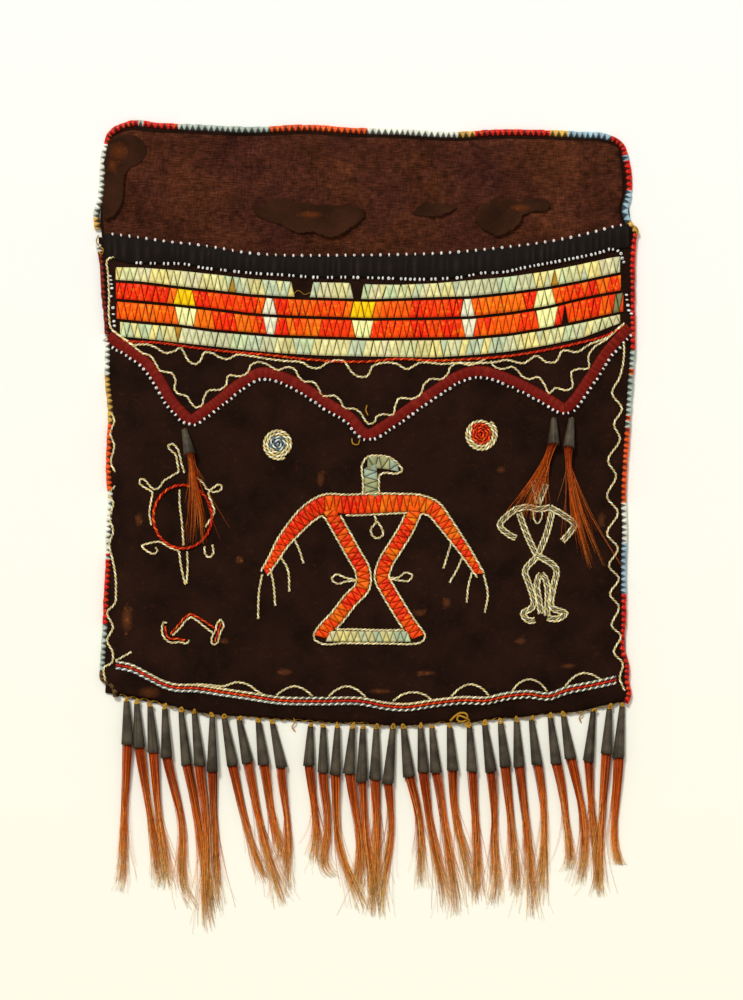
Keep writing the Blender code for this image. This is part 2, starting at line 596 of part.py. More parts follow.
def make_quillwork_band():
    """Rows of quills folded to and fro between stitched lines, so that each fold shows as a pointed leaf."""
    lines = [BAND_DROP + sum(BAND_ROWS[:k]) for k in range(len(BAND_ROWS) + 1)]
    half = HALF_WIDTH - BAND_INSET
    folds = round(2 * half / QUILL_PITCH)
    points, rows = [], []
    for k, drop in enumerate(lines):
        shift = k % 2 / 2
        stations = [0] + [i + shift for i in range(1 - (k % 2), folds)] + [folds]
        row = []
        for at in stations:
            x = -half + 2 * half * at / folds
            row.append(len(points))
            points.append((x, mouth(x) - drop, QUILL_EDGE))
        rows.append(row)
    faces = []
    for upper, lower in zip(rows, rows[1:]):
        a, b = 0, 0
        while a < len(upper) - 1 or b < len(lower) - 1:
            step_up = b == len(lower) - 1 or (a < len(upper) - 1 and points[upper[a + 1]][0] <= points[lower[b + 1]][0])
            corners = (upper[a], lower[b], upper[a + 1] if step_up else lower[b + 1])
            points.append(middle_of(points, corners, QUILL_CREST))
            faces += leaf_faces(corners, len(points) - 1)
            a, b = (a + 1, b) if step_up else (a, b + 1)
    rim = rows[0] + [row[-1] for row in rows[1:-1]] + rows[-1][::-1] + [row[0] for row in rows[-2:0:-1]]
    first = len(points)
    points += [(points[i][0], points[i][1], 0) for i in rim]
    faces += [(rim[i], rim[(i + 1) % len(rim)], first + (i + 1) % len(rim), first + i) for i in range(len(rim))]
    top_count, bottom_count = len(rows[0]), len(rows[-1])
    side_count = len(rows) - 2
    lower_of = [first + i for i in range(top_count)]
    lower_to = [first + top_count + side_count + i for i in range(bottom_count)][::-1]
    for i in range(min(top_count, bottom_count) - 1):
        corners = [lower_of[i], lower_of[i + 1], lower_to[i + 1], lower_to[i]]
        if i == 0:
            corners += [first + len(rim) - side_count + j for j in range(side_count)]
        if i == top_count - 2:
            corners[2:2] = [first + top_count + j for j in range(side_count)]
        faces.append(tuple(corners))
    return lay_on_face(mesh_object("quillwork_band", points, faces, ORANGE_QUILL))


def quill_strip(name, centre_line, widths, paint):
    """One row of folded quill along a line: leaves that point to each side in turn."""
    route = smooth_route(centre_line, FIGURE_LEAF)
    spread = []
    for i in range(len(route)):
        at = i / (len(route) - 1) * (len(widths) - 1)
        k = min(int(at), len(widths) - 2)
        spread.append(widths[k] + (widths[k + 1] - widths[k]) * (at - k))
    left, right = sides_of(route, spread)
    points = [(*left[0], QUILL_EDGE)]
    sides = [0]
    for i in range(len(route)):
        points.append((*(right if i % 2 == 0 else left)[i], QUILL_EDGE))
        sides.append(1 if i % 2 == 0 else 0)
    last = len(route) - 1
    points.append((*(left if last % 2 == 0 else right)[last], QUILL_EDGE))
    sides.append(0 if last % 2 == 0 else 1)
    count = len(points)
    faces = []
    for i in range(count - 2):
        corners = (i, i + 1, i + 2)
        points.append(middle_of(points, corners, QUILL_CREST))
        faces += leaf_faces(corners, len(points) - 1)
    first = len(points)
    points += [(points[i][0], points[i][1], 0) for i in range(count)]
    faces += [(first + i, first + i + 1, first + i + 2) for i in range(count - 2)]
    border = [i for i in range(count) if sides[i] == 0] + [i for i in range(count) if sides[i] == 1][::-1]
    faces += [
        (border[i], border[(i + 1) % count], first + border[(i + 1) % count], first + border[i]) for i in range(count)
    ]
    return mesh_object(name, points, faces, paint)


def flat_line(name, centre, points, radius, paint, step=4.5, cyclic=False):
    """A quill line of a figure, lying on the level z = 0."""
    route = smooth_route(points, step)
    places = [share_point(centre, p) for p in route]
    return tube(name, [(x, y, radius * 0.9) for x, y in places], radius, paint, cyclic)


def make_bird():
    """Wings, flanks and base of folded quill, a head in pale quill, and talons and loops of twisted quill."""
    wing = [share_point(BIRD_CENTRE, p) for p in BIRD_WING]
    pieces = [quill_strip("wing", wing, [w * MM for w in BIRD_WING_WIDTH], ORANGE_QUILL)]
    for line in (BIRD_FLANK_LEFT, BIRD_FLANK_RIGHT):
        flank = [share_point(BIRD_CENTRE, p) for p in line]
        pieces.append(quill_strip("flank", flank, [BIRD_FLANK_WIDTH * MM] * 2, ORANGE_QUILL))
    for line in BIRD_TALONS + BIRD_LOOPS:
        pieces.append(flat_line("talon", BIRD_CENTRE, line, CORD_RADIUS, WHITE_QUILL))
    lay_on_face(united("bird_wings_and_body", pieces))
    base = [share_point(BIRD_CENTRE, p) for p in BIRD_BASE]
    lay_on_face(quill_strip("bird_base", base, [BIRD_BASE_WIDTH * MM] * 2, WHITE_QUILL))
    outline = [share_point(BIRD_CENTRE, p) for p in BIRD_HEAD]
    lay_on_face(to_mesh(cut_sheet("bird_head", outline, 0, QUILL_CREST, WHITE_QUILL)))


def make_rosette(name, centre, paint):
    """A flat coil of twisted quill: a turned disc with a ridge for each round of the coil."""
    rounds = max(round(ROSETTE_RADIUS / ROSETTE_COIL), 1)
    profile = [(0, QUILL_CREST)]
    for k in range(rounds):
        inner = ROSETTE_RADIUS * k / rounds
        width = ROSETTE_RADIUS / rounds
        profile += [(inner + width / 2, QUILL_CREST), (inner + width, QUILL_EDGE)]
    profile += [(ROSETTE_RADIUS, 0), (0, 0)]
    mesh = bpy.data.meshes.new(name)
    mesh.from_pydata([(r, 0, z) for r, z in profile], [(i, i + 1) for i in range(len(profile) - 1)], [])
    made = add_object(name, mesh, paint)
    screw = made.modifiers.new("turn", "SCREW")
    screw.steps = screw.render_steps = 14
    screw.use_merge_vertices = True
    screw.merge_threshold = 0.01 * MM
    x, y = share_point(centre)
    made.location = (x, y, 0)
    return lay_on_face(to_mesh(made))


def make_ring_figure():
    ring = [(RING_WIDTH / MM * math.cos(math.radians(a)), RING_HEIGHT / MM * math.sin(math.radians(a)))
            for a in range(0, 360, 20)]
    places = [share_point(RING_CENTRE, p) for p in ring]
    pieces = [tube("ring", [(x, y, BOW_LINE_RADIUS) for x, y in places], BOW_LINE_RADIUS, ORANGE_QUILL, cyclic=True)]
    for line in [RING_SPINE] + RING_TAIL + RING_LOOPS:
        pieces.append(flat_line("line", RING_CENTRE, line, CORD_RADIUS, WHITE_QUILL, step=9))
    lay_on_face(united("ring_figure", pieces))


def make_line_figure(name, centre, lines, radius, paint, step=6):
    """A figure of single lines, each a little finer than the one it crosses."""
    pieces = [flat_line("line", centre, line, radius * (1 - 0.07 * k), paint, step) for k, line in enumerate(lines)]
    lay_on_face(united(name, pieces))


# Twisted quill lines down the sides and along the hem


def side_wave(name, side, inset):
    """A wavy line down one side, inside the binding."""
    middle = side * (HIDE_HALF_WIDTH - inset)
    top = min(under_ribbon(middle - WAVE_HEIGHT), under_ribbon(middle + WAVE_HEIGHT))
    start = top - WAVE_GAP - CORD_RADIUS
    end = hem(middle) + WAVE_FOOT
    count = max(round((start - end) / WAVE_LENGTH * 4), 4)
    route = []
    for i in range(count + 1):
        y = start + (end - start) * i / count
        x = side_edge(side, y) - side * (inset + WAVE_HEIGHT * math.sin(2 * math.pi * (start - y) / WAVE_LENGTH))
        route.append((x, y, face(x, y) + SEAT + CORD_RADIUS * 1.25))
    return tube(name, route, CORD_RADIUS, WHITE_QUILL)


def scallop(share):
    """A twisted line that rises from the border and comes down to it again, as half a sine wave."""
    places = []
    for i in range(7):
        x = share * HALF_WIDTH + SCALLOP_SPAN * (i / 6 - 0.5)
        rise = SCALLOP_RISE * math.sin(math.pi * i / 6)
        places.append((x, hem(x) + BORDER_RISE + rise, CORD_RADIUS * 0.9))
    return tube("scallop", places, CORD_RADIUS, WHITE_QUILL)


def make_border():
    """Three twisted lines side by side above the hem, as one rounded strip, with scallops above it."""
    reach = HALF_WIDTH - BORDER_INSET
    count = round(2 * reach / LINE_STATION)
    sections = []
    for i in range(count + 1):
        x = -reach + 2 * reach * i / count
        y = hem(x) + BORDER_RISE
        profile = [(-3, 0), (-3, 0.6), (-1, 1), (1, 1), (3, 0.6), (3, 0)]
        sections.append([(x, y + BORDER_WIDTH * p / 6, h * 2 * CORD_RADIUS) for p, h in profile])
    strip = swept("strip", sections, ORANGE_QUILL)
    return lay_on_face(united("border_lines", [strip] + [scallop(share) for share in SCALLOPS]), SPAN_LIFT)


def make_band_line():
    """The twisted line that finishes the lower edge of the quillwork."""
    drop = BAND_DROP + sum(BAND_ROWS) + SEAT + 1.2 * CORD_RADIUS
    reach = HALF_WIDTH - BAND_INSET
    count = round(2 * reach / LINE_STATION)
    route = []
    for i in range(count + 1):
        x = -reach + 2 * reach * i / count
        y = mouth(x) - drop
        route.append((x, y, face(x, y) + SEAT + CORD_RADIUS * 1.2))
    return tube("band_line", route, CORD_RADIUS, ORANGE_QUILL)


def make_hem_thong():
    """The thong that runs along the hem, which every cone of the fringe is knotted to."""
    reach = HIDE_HALF_WIDTH - 2 * HEM_THONG_RADIUS
    count = round(2 * reach / LINE_STATION)
    route = []
    for i in range(count + 1):
        x = -reach + 2 * reach * i / count
        route.append((x, hem(x) - SEAT - 1.4 * HEM_THONG_RADIUS, PIVOT_HEIGHT))
    return tube("hem_thong", route, HEM_THONG_RADIUS, YELLOW_THONG)


# Tin cones and their tassels


def ring_at(centre, direction, half_width, half_depth):
    """A cross-section round a centre, square to a direction that runs nearly along -Y."""
    across = direction.cross(Vector((0, 0, 1))).normalized()
    up = across.cross(direction).normalized()
    turn = 2 * math.pi / CONE_SIDES
    return [centre + across * (half_width * math.cos(turn * (i + 0.5))) + up * (half_depth * math.sin(turn * (i + 0.5)))
            for i in range(CONE_SIDES)]


def hanging_cone(name, pivot, drop, length, lean, tip_side, tip_drop, floor):
    """A knot at the pivot, a rolled tin cone with an open mouth, and a tassel that comes to rest on the floor."""
    rim_height = max(floor + CONE_RIM_RADIUS + SEAT / 2, pivot.z)
    rim = Vector((pivot.x + lean, pivot.y - math.sqrt((length + drop) ** 2 - lean * lean), rim_height))
    axis = (rim - pivot).normalized()
    tip = Vector((rim.x + tip_side, rim.y - tip_drop, floor + HAIR_TIP + SEAT / 2))
    root = rim - axis * CONE_RECESS
    fall = (tip - root).normalized()
    middle = root.lerp(tip, 0.45)
    middle.z = floor + HAIR_DEPTH + SEAT
    near = root.lerp(tip, 0.14)
    near.z = max(root.z - 0.4 * MM, floor + HAIR_DEPTH + SEAT)
    bore = CONE_RIM_RADIUS - TIN
    rings = [
        ring_at(pivot - axis * THONG_RADIUS * 0.7, axis, THONG_RADIUS * 0.7, THONG_RADIUS * 0.7),
        ring_at(pivot, axis, THONG_RADIUS, THONG_RADIUS),
        ring_at(pivot + axis * drop, axis, THONG_RADIUS * 0.8, THONG_RADIUS * 0.8),
        ring_at(pivot + axis * drop, axis, CONE_TOP_RADIUS, CONE_TOP_RADIUS),
        ring_at(rim, axis, CONE_RIM_RADIUS, CONE_RIM_RADIUS),
        ring_at(rim, axis, bore, bore),
        ring_at(root, axis, bore * 0.88, bore * 0.88),
        ring_at(near, fall, HAIR_WIDTH * 0.86, HAIR_DEPTH),
        ring_at(middle, fall, HAIR_WIDTH, HAIR_DEPTH),
        ring_at(tip, fall, HAIR_TIP, HAIR_TIP),
    ]
    made = swept(name, rings, TARNISHED_TIN)
    made.data.transform(Matrix.Translation(-pivot))
    made.location = pivot
    return made


def make_fringe():
    for number, (share, length, lean, tip_side, tip_drop) in enumerate(FRINGE, 1):
        x = share * HALF_WIDTH
        y = hem(x) - SEAT - 2.4 * HEM_THONG_RADIUS - SEAT - THONG_RADIUS
        drop = THONG_DROP + LONG_THONGS.get(number, 0) * MM
        hanging_cone(
            f"fringe_cone_{number:02d}", Vector((x, y, PIVOT_HEIGHT)), drop, length * MM, lean * MM, tip_side * MM,
            tip_drop * MM, 0,
        )


def make_face_cones():
    drops = [drop for _, drop in ZIGZAG_TURNS]
    points = [i for i in range(1, len(drops) - 1) if drops[i - 1] < drops[i] > drops[i + 1]]
    for number, (point, aside, length, lean, tip_side, tip_drop) in enumerate(FACE_CONES, 1):
        x, y = zigzag_turn(points[point])
        pivot_y = y - ZIGZAG_WIDTH * 0.75 - 2 * THONG_RADIUS - SEAT
        floor = face(x, y) + SEAT + 2 * FIGURE_LINE_RADIUS + FACE_LIFT
        hanging_cone(
            f"face_cone_{number}", Vector((x + aside * MM, pivot_y, face(x, y) + SEAT + CONE_TOP_RADIUS)),
            THONG_DROP, length * MM, lean * MM, tip_side * MM, tip_drop * MM, floor,
        )


def back_face(x, y):
    return HIDE


cut_sheet("back_panel", hide_outline(), 0, HIDE, BLACK_HIDE)
cut_sheet("lining_cloth", lining_outline(), HIDE + SEAT, CLOTH, BROWN_CLOTH)
for remnant, (centre, outline) in REMNANTS.items():
    cut_sheet(remnant, [share_point(centre, point) for point in outline], CLOTH_TOP + SEAT, CLOTH, BLACK_HIDE)
make_front_panel()

left_mouth = length_to(-1, mouth(-HALF_WIDTH))
right_mouth = length_to(1, mouth(HALF_WIDTH))
edge_binding("edge_binding_left", 0, left_mouth - SEAT, face, WHITE_QUILL)
edge_binding("edge_binding_top", left_mouth + 4 * SEAT, right_mouth - 4 * SEAT, back_face, ORANGE_QUILL)
edge_binding("edge_binding_right", right_mouth + SEAT, length_to(1, hem(HALF_WIDTH) + SEAT), face, WHITE_QUILL)
make_mouth_binding()
make_zigzag_ribbon()

make_quillwork_band()
make_bird()
make_rosette("rosette_left", ROSETTE_LEFT, WHITE_QUILL)
make_rosette("rosette_right", ROSETTE_RIGHT, WHITE_QUILL)
make_ring_figure()
make_line_figure("bow_figure", BOW_CENTRE, BOW_LINES, BOW_LINE_RADIUS, ORANGE_QUILL)
make_line_figure("standing_figure", FIGURE_CENTRE, FIGURE_LINES, FIGURE_LINE_RADIUS, WHITE_QUILL)
side_wave("side_wave_left", -1, WAVE_INSET_LEFT)
side_wave("side_wave_right", 1, WAVE_INSET_RIGHT)
make_border()
make_band_line()
make_hem_thong()
make_fringe()
make_face_cones()
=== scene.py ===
"""The dressed model of an old deerskin bag with quillwork, beads, ribbons and a fringe of tin cones.

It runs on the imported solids, in their frame: the bag lies on its back, with +Y towards its top edge and +Z
out of its face. Shapes that were read off the photograph are lists of its pixels, whose names end in _PX.
"""

import json
import math

import bpy
import numpy as np
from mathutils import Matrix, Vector


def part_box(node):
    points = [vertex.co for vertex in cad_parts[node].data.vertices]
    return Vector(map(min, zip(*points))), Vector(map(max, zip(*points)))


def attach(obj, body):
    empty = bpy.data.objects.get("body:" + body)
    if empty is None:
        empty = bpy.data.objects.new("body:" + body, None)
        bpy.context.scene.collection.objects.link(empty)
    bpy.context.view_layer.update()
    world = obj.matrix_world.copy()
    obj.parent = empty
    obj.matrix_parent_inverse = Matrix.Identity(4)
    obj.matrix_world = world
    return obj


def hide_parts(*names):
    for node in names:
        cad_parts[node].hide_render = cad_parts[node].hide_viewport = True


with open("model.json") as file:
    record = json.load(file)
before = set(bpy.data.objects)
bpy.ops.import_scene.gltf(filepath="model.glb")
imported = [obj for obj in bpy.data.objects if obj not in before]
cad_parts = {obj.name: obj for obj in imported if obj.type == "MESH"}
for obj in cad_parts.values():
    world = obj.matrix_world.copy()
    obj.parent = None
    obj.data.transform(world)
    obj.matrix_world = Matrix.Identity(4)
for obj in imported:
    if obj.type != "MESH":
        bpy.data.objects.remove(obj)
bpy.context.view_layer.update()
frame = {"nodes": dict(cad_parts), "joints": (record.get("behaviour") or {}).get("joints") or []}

# The back panel: one piece of black-dyed deerskin, full height. The bag lies on it, and only its back and
# its raw rim show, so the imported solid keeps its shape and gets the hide's own surface.

MM = 0.001
HIDE_THICKNESS = 1.2 * MM
HIDE_BLACK = (35, 18, 10)
HIDE_BROWN = (124, 68, 32)


def colour(shade):
    """The linear colour of one that is written as red, green and blue from 0 to 255."""
    c = np.array(shade, float) / 255
    return np.where(c <= 0.04045, c / 12.92, ((c + 0.055) / 1.055) ** 2.4)


def put(tree, kind, inputs=None, **settings):
    """Adds a node with these settings, and sets or links its inputs."""
    node = tree.nodes.new(kind)
    for key, value in settings.items():
        setattr(node, key, value)
    for key, value in (inputs or {}).items():
        if isinstance(value, bpy.types.NodeSocket):
            tree.links.new(value, node.inputs[key])
        else:
            node.inputs[key].default_value = value
    return node


def value_of(tree, operation, a, b=0.5, c=0.0):
    """One Math node's value."""
    return put(tree, "ShaderNodeMath", {0: a, 1: b, 2: c}, operation=operation).outputs[0]


def spread(tree, value, low, high, to_low=0.0, to_high=1.0):
    """A value stretched from one range to another, and held at its ends."""
    inputs = {"Value": value, 1: low, 2: high, 3: to_low, 4: to_high}
    return put(tree, "ShaderNodeMapRange", inputs).outputs[0]


def blended(tree, factor, a, b, blend_type="MIX"):
    """Two colours mixed by a factor."""
    mix = put(tree, "ShaderNodeMix", data_type="RGBA", blend_type=blend_type)
    for socket, value in ((0, factor), (6, a), (7, b)):
        if isinstance(value, bpy.types.NodeSocket):
            tree.links.new(value, mix.inputs[socket])
        elif socket == 0:
            mix.inputs[0].default_value = value
        else:
            mix.inputs[socket].default_value = (*value, 1)
    return mix.outputs[2]


def noise(tree, place, scale, detail, roughness=0.5):
    """One Noise Texture's value, at a place in metres."""
    inputs = {"Vector": place, "Scale": scale, "Detail": detail, "Roughness": roughness}
    return put(tree, "ShaderNodeTexNoise", inputs).outputs["Fac"]


def toned(tree, base, tone):
    """A colour made lighter or darker by a value."""
    grey = put(tree, "ShaderNodeCombineColor", {0: tone, 1: tone, 2: tone}).outputs[0]
    return blended(tree, 1.0, base, grey, "MULTIPLY")


def object_place(tree):
    return put(tree, "ShaderNodeTexCoord").outputs["Object"]


def attribute(tree, name, output="Fac"):
    return put(tree, "ShaderNodeAttribute", attribute_name=name).outputs[output]


def new_material(name, roughness, specular=0.5, coat=0.0):
    """A material with plain sockets set, and its tree and shader for the rest."""
    made = bpy.data.materials.new(name)
    made.use_nodes = True
    shader = made.node_tree.nodes["Principled BSDF"]
    shader.inputs["Roughness"].default_value = roughness
    shader.inputs["Specular IOR Level"].default_value = specular
    shader.inputs["Coat Weight"].default_value = coat
    return made, made.node_tree, shader


def finish_surface(tree, shader, base, height, depth, strength=1.0):
    """Joins a colour and a bump of the given depth to the shader."""
    tree.links.new(base, shader.inputs["Base Color"])
    bump = put(tree, "ShaderNodeBump", {"Strength": strength, "Distance": depth, "Height": height})
    tree.links.new(bump.outputs[0], shader.inputs["Normal"])


def new_group(name, inputs, outputs):
    """An empty node group with these number inputs and outputs."""
    made = bpy.data.node_groups.new(name, "ShaderNodeTree")
    for title, value in inputs:
        made.interface.new_socket(title, in_out="INPUT", socket_type="NodeSocketFloat").default_value = value
    for title in outputs:
        made.interface.new_socket(title, in_out="OUTPUT", socket_type="NodeSocketFloat")
    return made, made.nodes.new("NodeGroupInput").outputs, made.nodes.new("NodeGroupOutput").inputs


# Grain: slow mottling, fine pores and the net of cracks of old skin, all in object coordinates
GRAIN, grain_in, grain_out = new_group(
    "skin_grain", [("Mottle", 70.0), ("Pores", 1500.0), ("Cracks", 420.0)], ["Tone", "Height", "Scuff"]
)
grain_place = object_place(GRAIN)
mottle = noise(GRAIN, grain_place, grain_in["Mottle"], 6.0)
pores = noise(GRAIN, grain_place, grain_in["Pores"], 3.0)
scuffs = noise(GRAIN, grain_place, 330.0, 8.0, 0.72)
crack_inputs = {"Vector": grain_place, "Scale": grain_in["Cracks"]}
cracks = put(GRAIN, "ShaderNodeTexVoronoi", crack_inputs, feature="DISTANCE_TO_EDGE").outputs["Distance"]
crack_depth = value_of(GRAIN, "MULTIPLY", spread(GRAIN, cracks, 0.0, 0.16), 0.4)
GRAIN.links.new(spread(GRAIN, mottle, 0.3, 0.72), grain_out["Tone"])
GRAIN.links.new(value_of(GRAIN, "MULTIPLY_ADD", pores, 0.6, crack_depth), grain_out["Height"])
GRAIN.links.new(spread(GRAIN, scuffs, 0.56, 0.74), grain_out["Scuff"])


def hide_material(name, dark, brown, worn=False):
    """Black-dyed skin: mottled, with brown scuffs, and browner where the wear attribute says that dye has
    gone."""
    made, tree, shader = new_material(name, 0.8, specular=0.04)
    grain = put(tree, "ShaderNodeGroup", node_tree=GRAIN).outputs
    base = toned(tree, colour(dark), spread(tree, grain["Tone"], 0.0, 1.0, 0.6, 1.4))
    base = blended(tree, value_of(tree, "MULTIPLY", grain["Scuff"], 0.13), base, colour(brown))
    if worn:
        ragged = value_of(tree, "MULTIPLY_ADD", grain["Scuff"], 1.1, 0.45)
        ragged = value_of(tree, "MULTIPLY", attribute(tree, "wear"), ragged)
        base = blended(tree, spread(tree, ragged, 0.2, 0.75, 0.0, 0.9), base, colour(brown))
    finish_surface(tree, shader, base, grain["Height"], 0.35 * MM, 0.8)
    return made


BLACK_HIDE = hide_material("black_dyed_deerskin", HIDE_BLACK, HIDE_BROWN)
back_panel = frame["nodes"]["back_panel"]
back_panel.data.materials.clear()
back_panel.data.materials.append(BLACK_HIDE)

# The lining: brown woven wool laid on the back panel's inside, seen above the mouth, and running down into
# the pocket. It has drawn up a little along its threads, so it lies in slow waves.

PIXEL = 0.5 * MM  # size of one pixel of the photograph on the bag
CENTRE_PX = (367.5, 415)  # pixel of the frame's origin
LINING_BROWN, LINING_PLUM = (78, 40, 22), (60, 29, 21)
LINING_THREAD = 0.6 * MM
LINING_THICKNESS = 0.5 * MM
# Outer edges of the bag, with their bindings
LEFT_EDGE_PX = [
    (113, 697), (112, 689), (100, 679), (100, 666), (101, 650), (103, 620), (104, 590), (106, 560),
    (106, 530), (108, 500), (106, 470), (107, 440), (108, 410), (105, 380), (105, 350), (104, 320),
    (101, 290), (99, 260), (96, 245), (95, 230), (93, 215), (97, 200), (99, 185), (100, 170), (101, 155),
    (104, 144),
]
RIGHT_EDGE_PX = [
    (628, 704), (631, 695), (629, 680), (629, 665), (625, 650), (626, 620), (626, 590), (626, 560),
    (627, 530), (626, 500), (627, 470), (629, 440), (631, 410), (633, 380), (635, 350), (635, 320),
    (635, 290), (635, 260), (636, 245), (638, 231), (631, 221), (628, 210), (631, 199), (632, 185),
    (631, 170), (628, 155),
]
TOP_EDGE_PX = [
    (104, 144), (107, 134), (114, 127.5), (130, 121), (160, 123), (205, 125), (250, 127), (310, 125),
    (355, 128), (400, 129), (430, 131), (460, 132), (490, 130), (535, 130), (580, 132), (606, 134),
    (618, 139), (625, 146), (628, 155),
]
HEM_PX = [
    (100, 690), (113, 692), (126, 695), (149, 699), (179, 708), (197, 712), (222, 715), (251, 716),
    (277, 718), (304, 719), (340, 722), (361, 721), (375, 724), (397, 725), (421, 724), (440, 721),
    (471, 722), (497, 717), (517, 717), (545, 713), (580, 711), (608, 704), (631, 699),
]
MOUTH_PX = [
    (90, 233.5), (115, 238), (143, 242), (171, 246), (199, 249), (225, 253), (241, 256), (285, 259.5),
    (327, 259.6), (385, 259), (409, 258.5), (450, 256.7), (490, 253), (525, 249), (568, 242), (593, 236),
    (612, 230.6), (640, 225),
]
BINDING_WIDTH = 3.5 * MM  # how much of those edges the binding covers
BARE_RIM = 1.4 * MM  # black hide that shows between the binding and the lining


def from_photo(points):
    """Metres in the frame for pixels of the photograph."""
    p = np.asarray(points, float)
    return np.column_stack(((p[:, 0] - CENTRE_PX[0]) * PIXEL, (CENTRE_PX[1] - p[:, 1]) * PIXEL))


def smooth(points, step, closed=False):
    """A curve through the points, in even steps: Hermite pieces whose slope at a point is the mean of the
    slopes beside it, weighted towards the nearer one."""
    p = np.asarray(points, float)
    if closed:
        p = np.vstack((p, p[:1]))
    gaps = np.linalg.norm(np.diff(p, axis=0), axis=1)[:, None]
    slopes = np.diff(p, axis=0) / gaps
    inner = (slopes[:-1] * gaps[1:] + slopes[1:] * gaps[:-1]) / (gaps[:-1] + gaps[1:])
    if closed:
        seam = (slopes[-1:] * gaps[:1] + slopes[:1] * gaps[-1:]) / (gaps[:1] + gaps[-1:])
        tangents = np.vstack((seam, inner, seam))
    else:
        tangents = np.vstack((slopes[:1], inner, slopes[-1:]))
    t = np.linspace(0, 1, 10, endpoint=False)[:, None, None]
    curve = (
        (2 * t**3 - 3 * t**2 + 1) * p[:-1] + (t**3 - 2 * t**2 + t) * gaps * tangents[:-1]
        + (3 * t**2 - 2 * t**3) * p[1:] + (t**3 - t**2) * gaps * tangents[1:]
    )
    curve = np.vstack((curve.transpose(1, 0, 2).reshape(-1, p.shape[1]), p[-1:]))
    lengths = np.concatenate(([0], np.cumsum(np.linalg.norm(np.diff(curve, axis=0), axis=1))))
    at = np.linspace(0, lengths[-1], max(round(lengths[-1] / step), 2) + 1)
    return np.column_stack([np.interp(at, lengths, curve[:, k]) for k in range(curve.shape[1])])


def edge_curve(points_px, key):
    """A smoothed edge in the frame, sorted along one axis for reading with np.interp."""
    curve = smooth(from_photo(points_px), 1.5 * MM)
    return curve[np.argsort(curve[:, key])]


left_curve, right_curve = edge_curve(LEFT_EDGE_PX, 1), edge_curve(RIGHT_EDGE_PX, 1)
hem_curve, mouth_curve, top_curve = (edge_curve(points, 0) for points in (HEM_PX, MOUTH_PX, TOP_EDGE_PX))


def left_edge(y, inset=BINDING_WIDTH / 2):
    """The hide's left edge at a height."""
    return np.interp(y, left_curve[:, 1], left_curve[:, 0]) + inset


def right_edge(y, inset=BINDING_WIDTH / 2):
    """The hide's right edge at a height."""
    return np.interp(y, right_curve[:, 1], right_curve[:, 0]) - inset


def hem(x):
    return np.interp(x, hem_curve[:, 0], hem_curve[:, 1])


def mouth(x):
    return np.interp(x, mouth_curve[:, 0], mouth_curve[:, 1])


def top_edge(x):
    return np.interp(x, top_curve[:, 0], top_curve[:, 1])


def waves(x, y, size, seed):
    """Slow waviness from -1 to 1: the mean of six sine waves in random directions, a few sizes long each."""
    chance = np.random.default_rng(seed)
    turns, phases = chance.uniform(0, math.tau, (2, 6))
    sizes = size * chance.uniform(0.7, 1.6, 6)
    along = [x * math.cos(turn) + y * math.sin(turn) for turn in turns]
    rise = [np.sin(way * math.tau / size + phase) for way, size, phase in zip(along, sizes, phases)]
    return np.mean(rise, axis=0)


def grid_triangles(rows, columns, closed=False):
    """Triangles between the points of a grid, and round from its last column to its first if it is closed."""
    r, c = np.meshgrid(np.arange(rows - 1), np.arange(columns if closed else columns - 1), indexing="ij")
    a, b = r * columns + c, r * columns + (c + 1) % columns
    d, e = a + columns, b + columns
    return np.concatenate([np.stack(corners, -1).reshape(-1, 3) for corners in ((a, b, e), (a, e, d))])


def shell(upper, lower):
    """A closed sheet between two grids of points: the upper one, the lower one turned round, and a strip
    between their rims."""
    rows, columns = upper.shape[:2]
    count = rows * columns
    faces = grid_triangles(rows, columns)
    index = np.arange(count).reshape(rows, columns)
    rim = np.concatenate((index[0], index[1:, -1], index[-1, -2::-1], index[-2:0:-1, 0]))
    following = np.roll(rim, -1)
    strip = np.concatenate((np.column_stack((following, rim, rim + count)),
                            np.column_stack((following, rim + count, following + count))))
    points = np.concatenate((upper.reshape(-1, 3), lower.reshape(-1, 3)))
    return points, np.concatenate((faces, faces[:, ::-1] + count, strip))


def new_piece(name, parts, material, body="pouch", stands_for=()):
    """One mesh from parts of (points, triangles, tints or None), on a body and in place of solids."""
    points = np.concatenate([part[0] for part in parts])
    starts = np.cumsum([0] + [len(part[0]) for part in parts[:-1]])
    faces = np.concatenate([part[1] + start for part, start in zip(parts, starts)])
    mesh = bpy.data.meshes.new(name)
    mesh.vertices.add(len(points))
    mesh.vertices.foreach_set("co", points.astype(np.float32).ravel())
    mesh.loops.add(faces.size)
    mesh.loops.foreach_set("vertex_index", faces.astype(np.int32).ravel())
    mesh.polygons.add(len(faces))
    mesh.polygons.foreach_set("loop_start", np.arange(0, faces.size, 3, dtype=np.int32))
    mesh.polygons.foreach_set("use_smooth", np.ones(len(faces), bool))
    if len(parts[0]) > 2:
        tints = np.concatenate([np.broadcast_to(part[2], (len(part[0]), 3)) for part in parts])
        tint = mesh.attributes.new("tint", "FLOAT_COLOR", "POINT")
        opaque = np.column_stack((tints, np.ones(len(tints))))
        tint.data.foreach_set("color", opaque.astype(np.float32).ravel())
    mesh.update(calc_edges=True)
    mesh.validate()
    mesh.materials.append(material)
    made = bpy.data.objects.new(name, mesh)
    bpy.context.scene.collection.objects.link(made)
    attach(made, body)
    if stands_for:
        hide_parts(*stands_for)
    return made


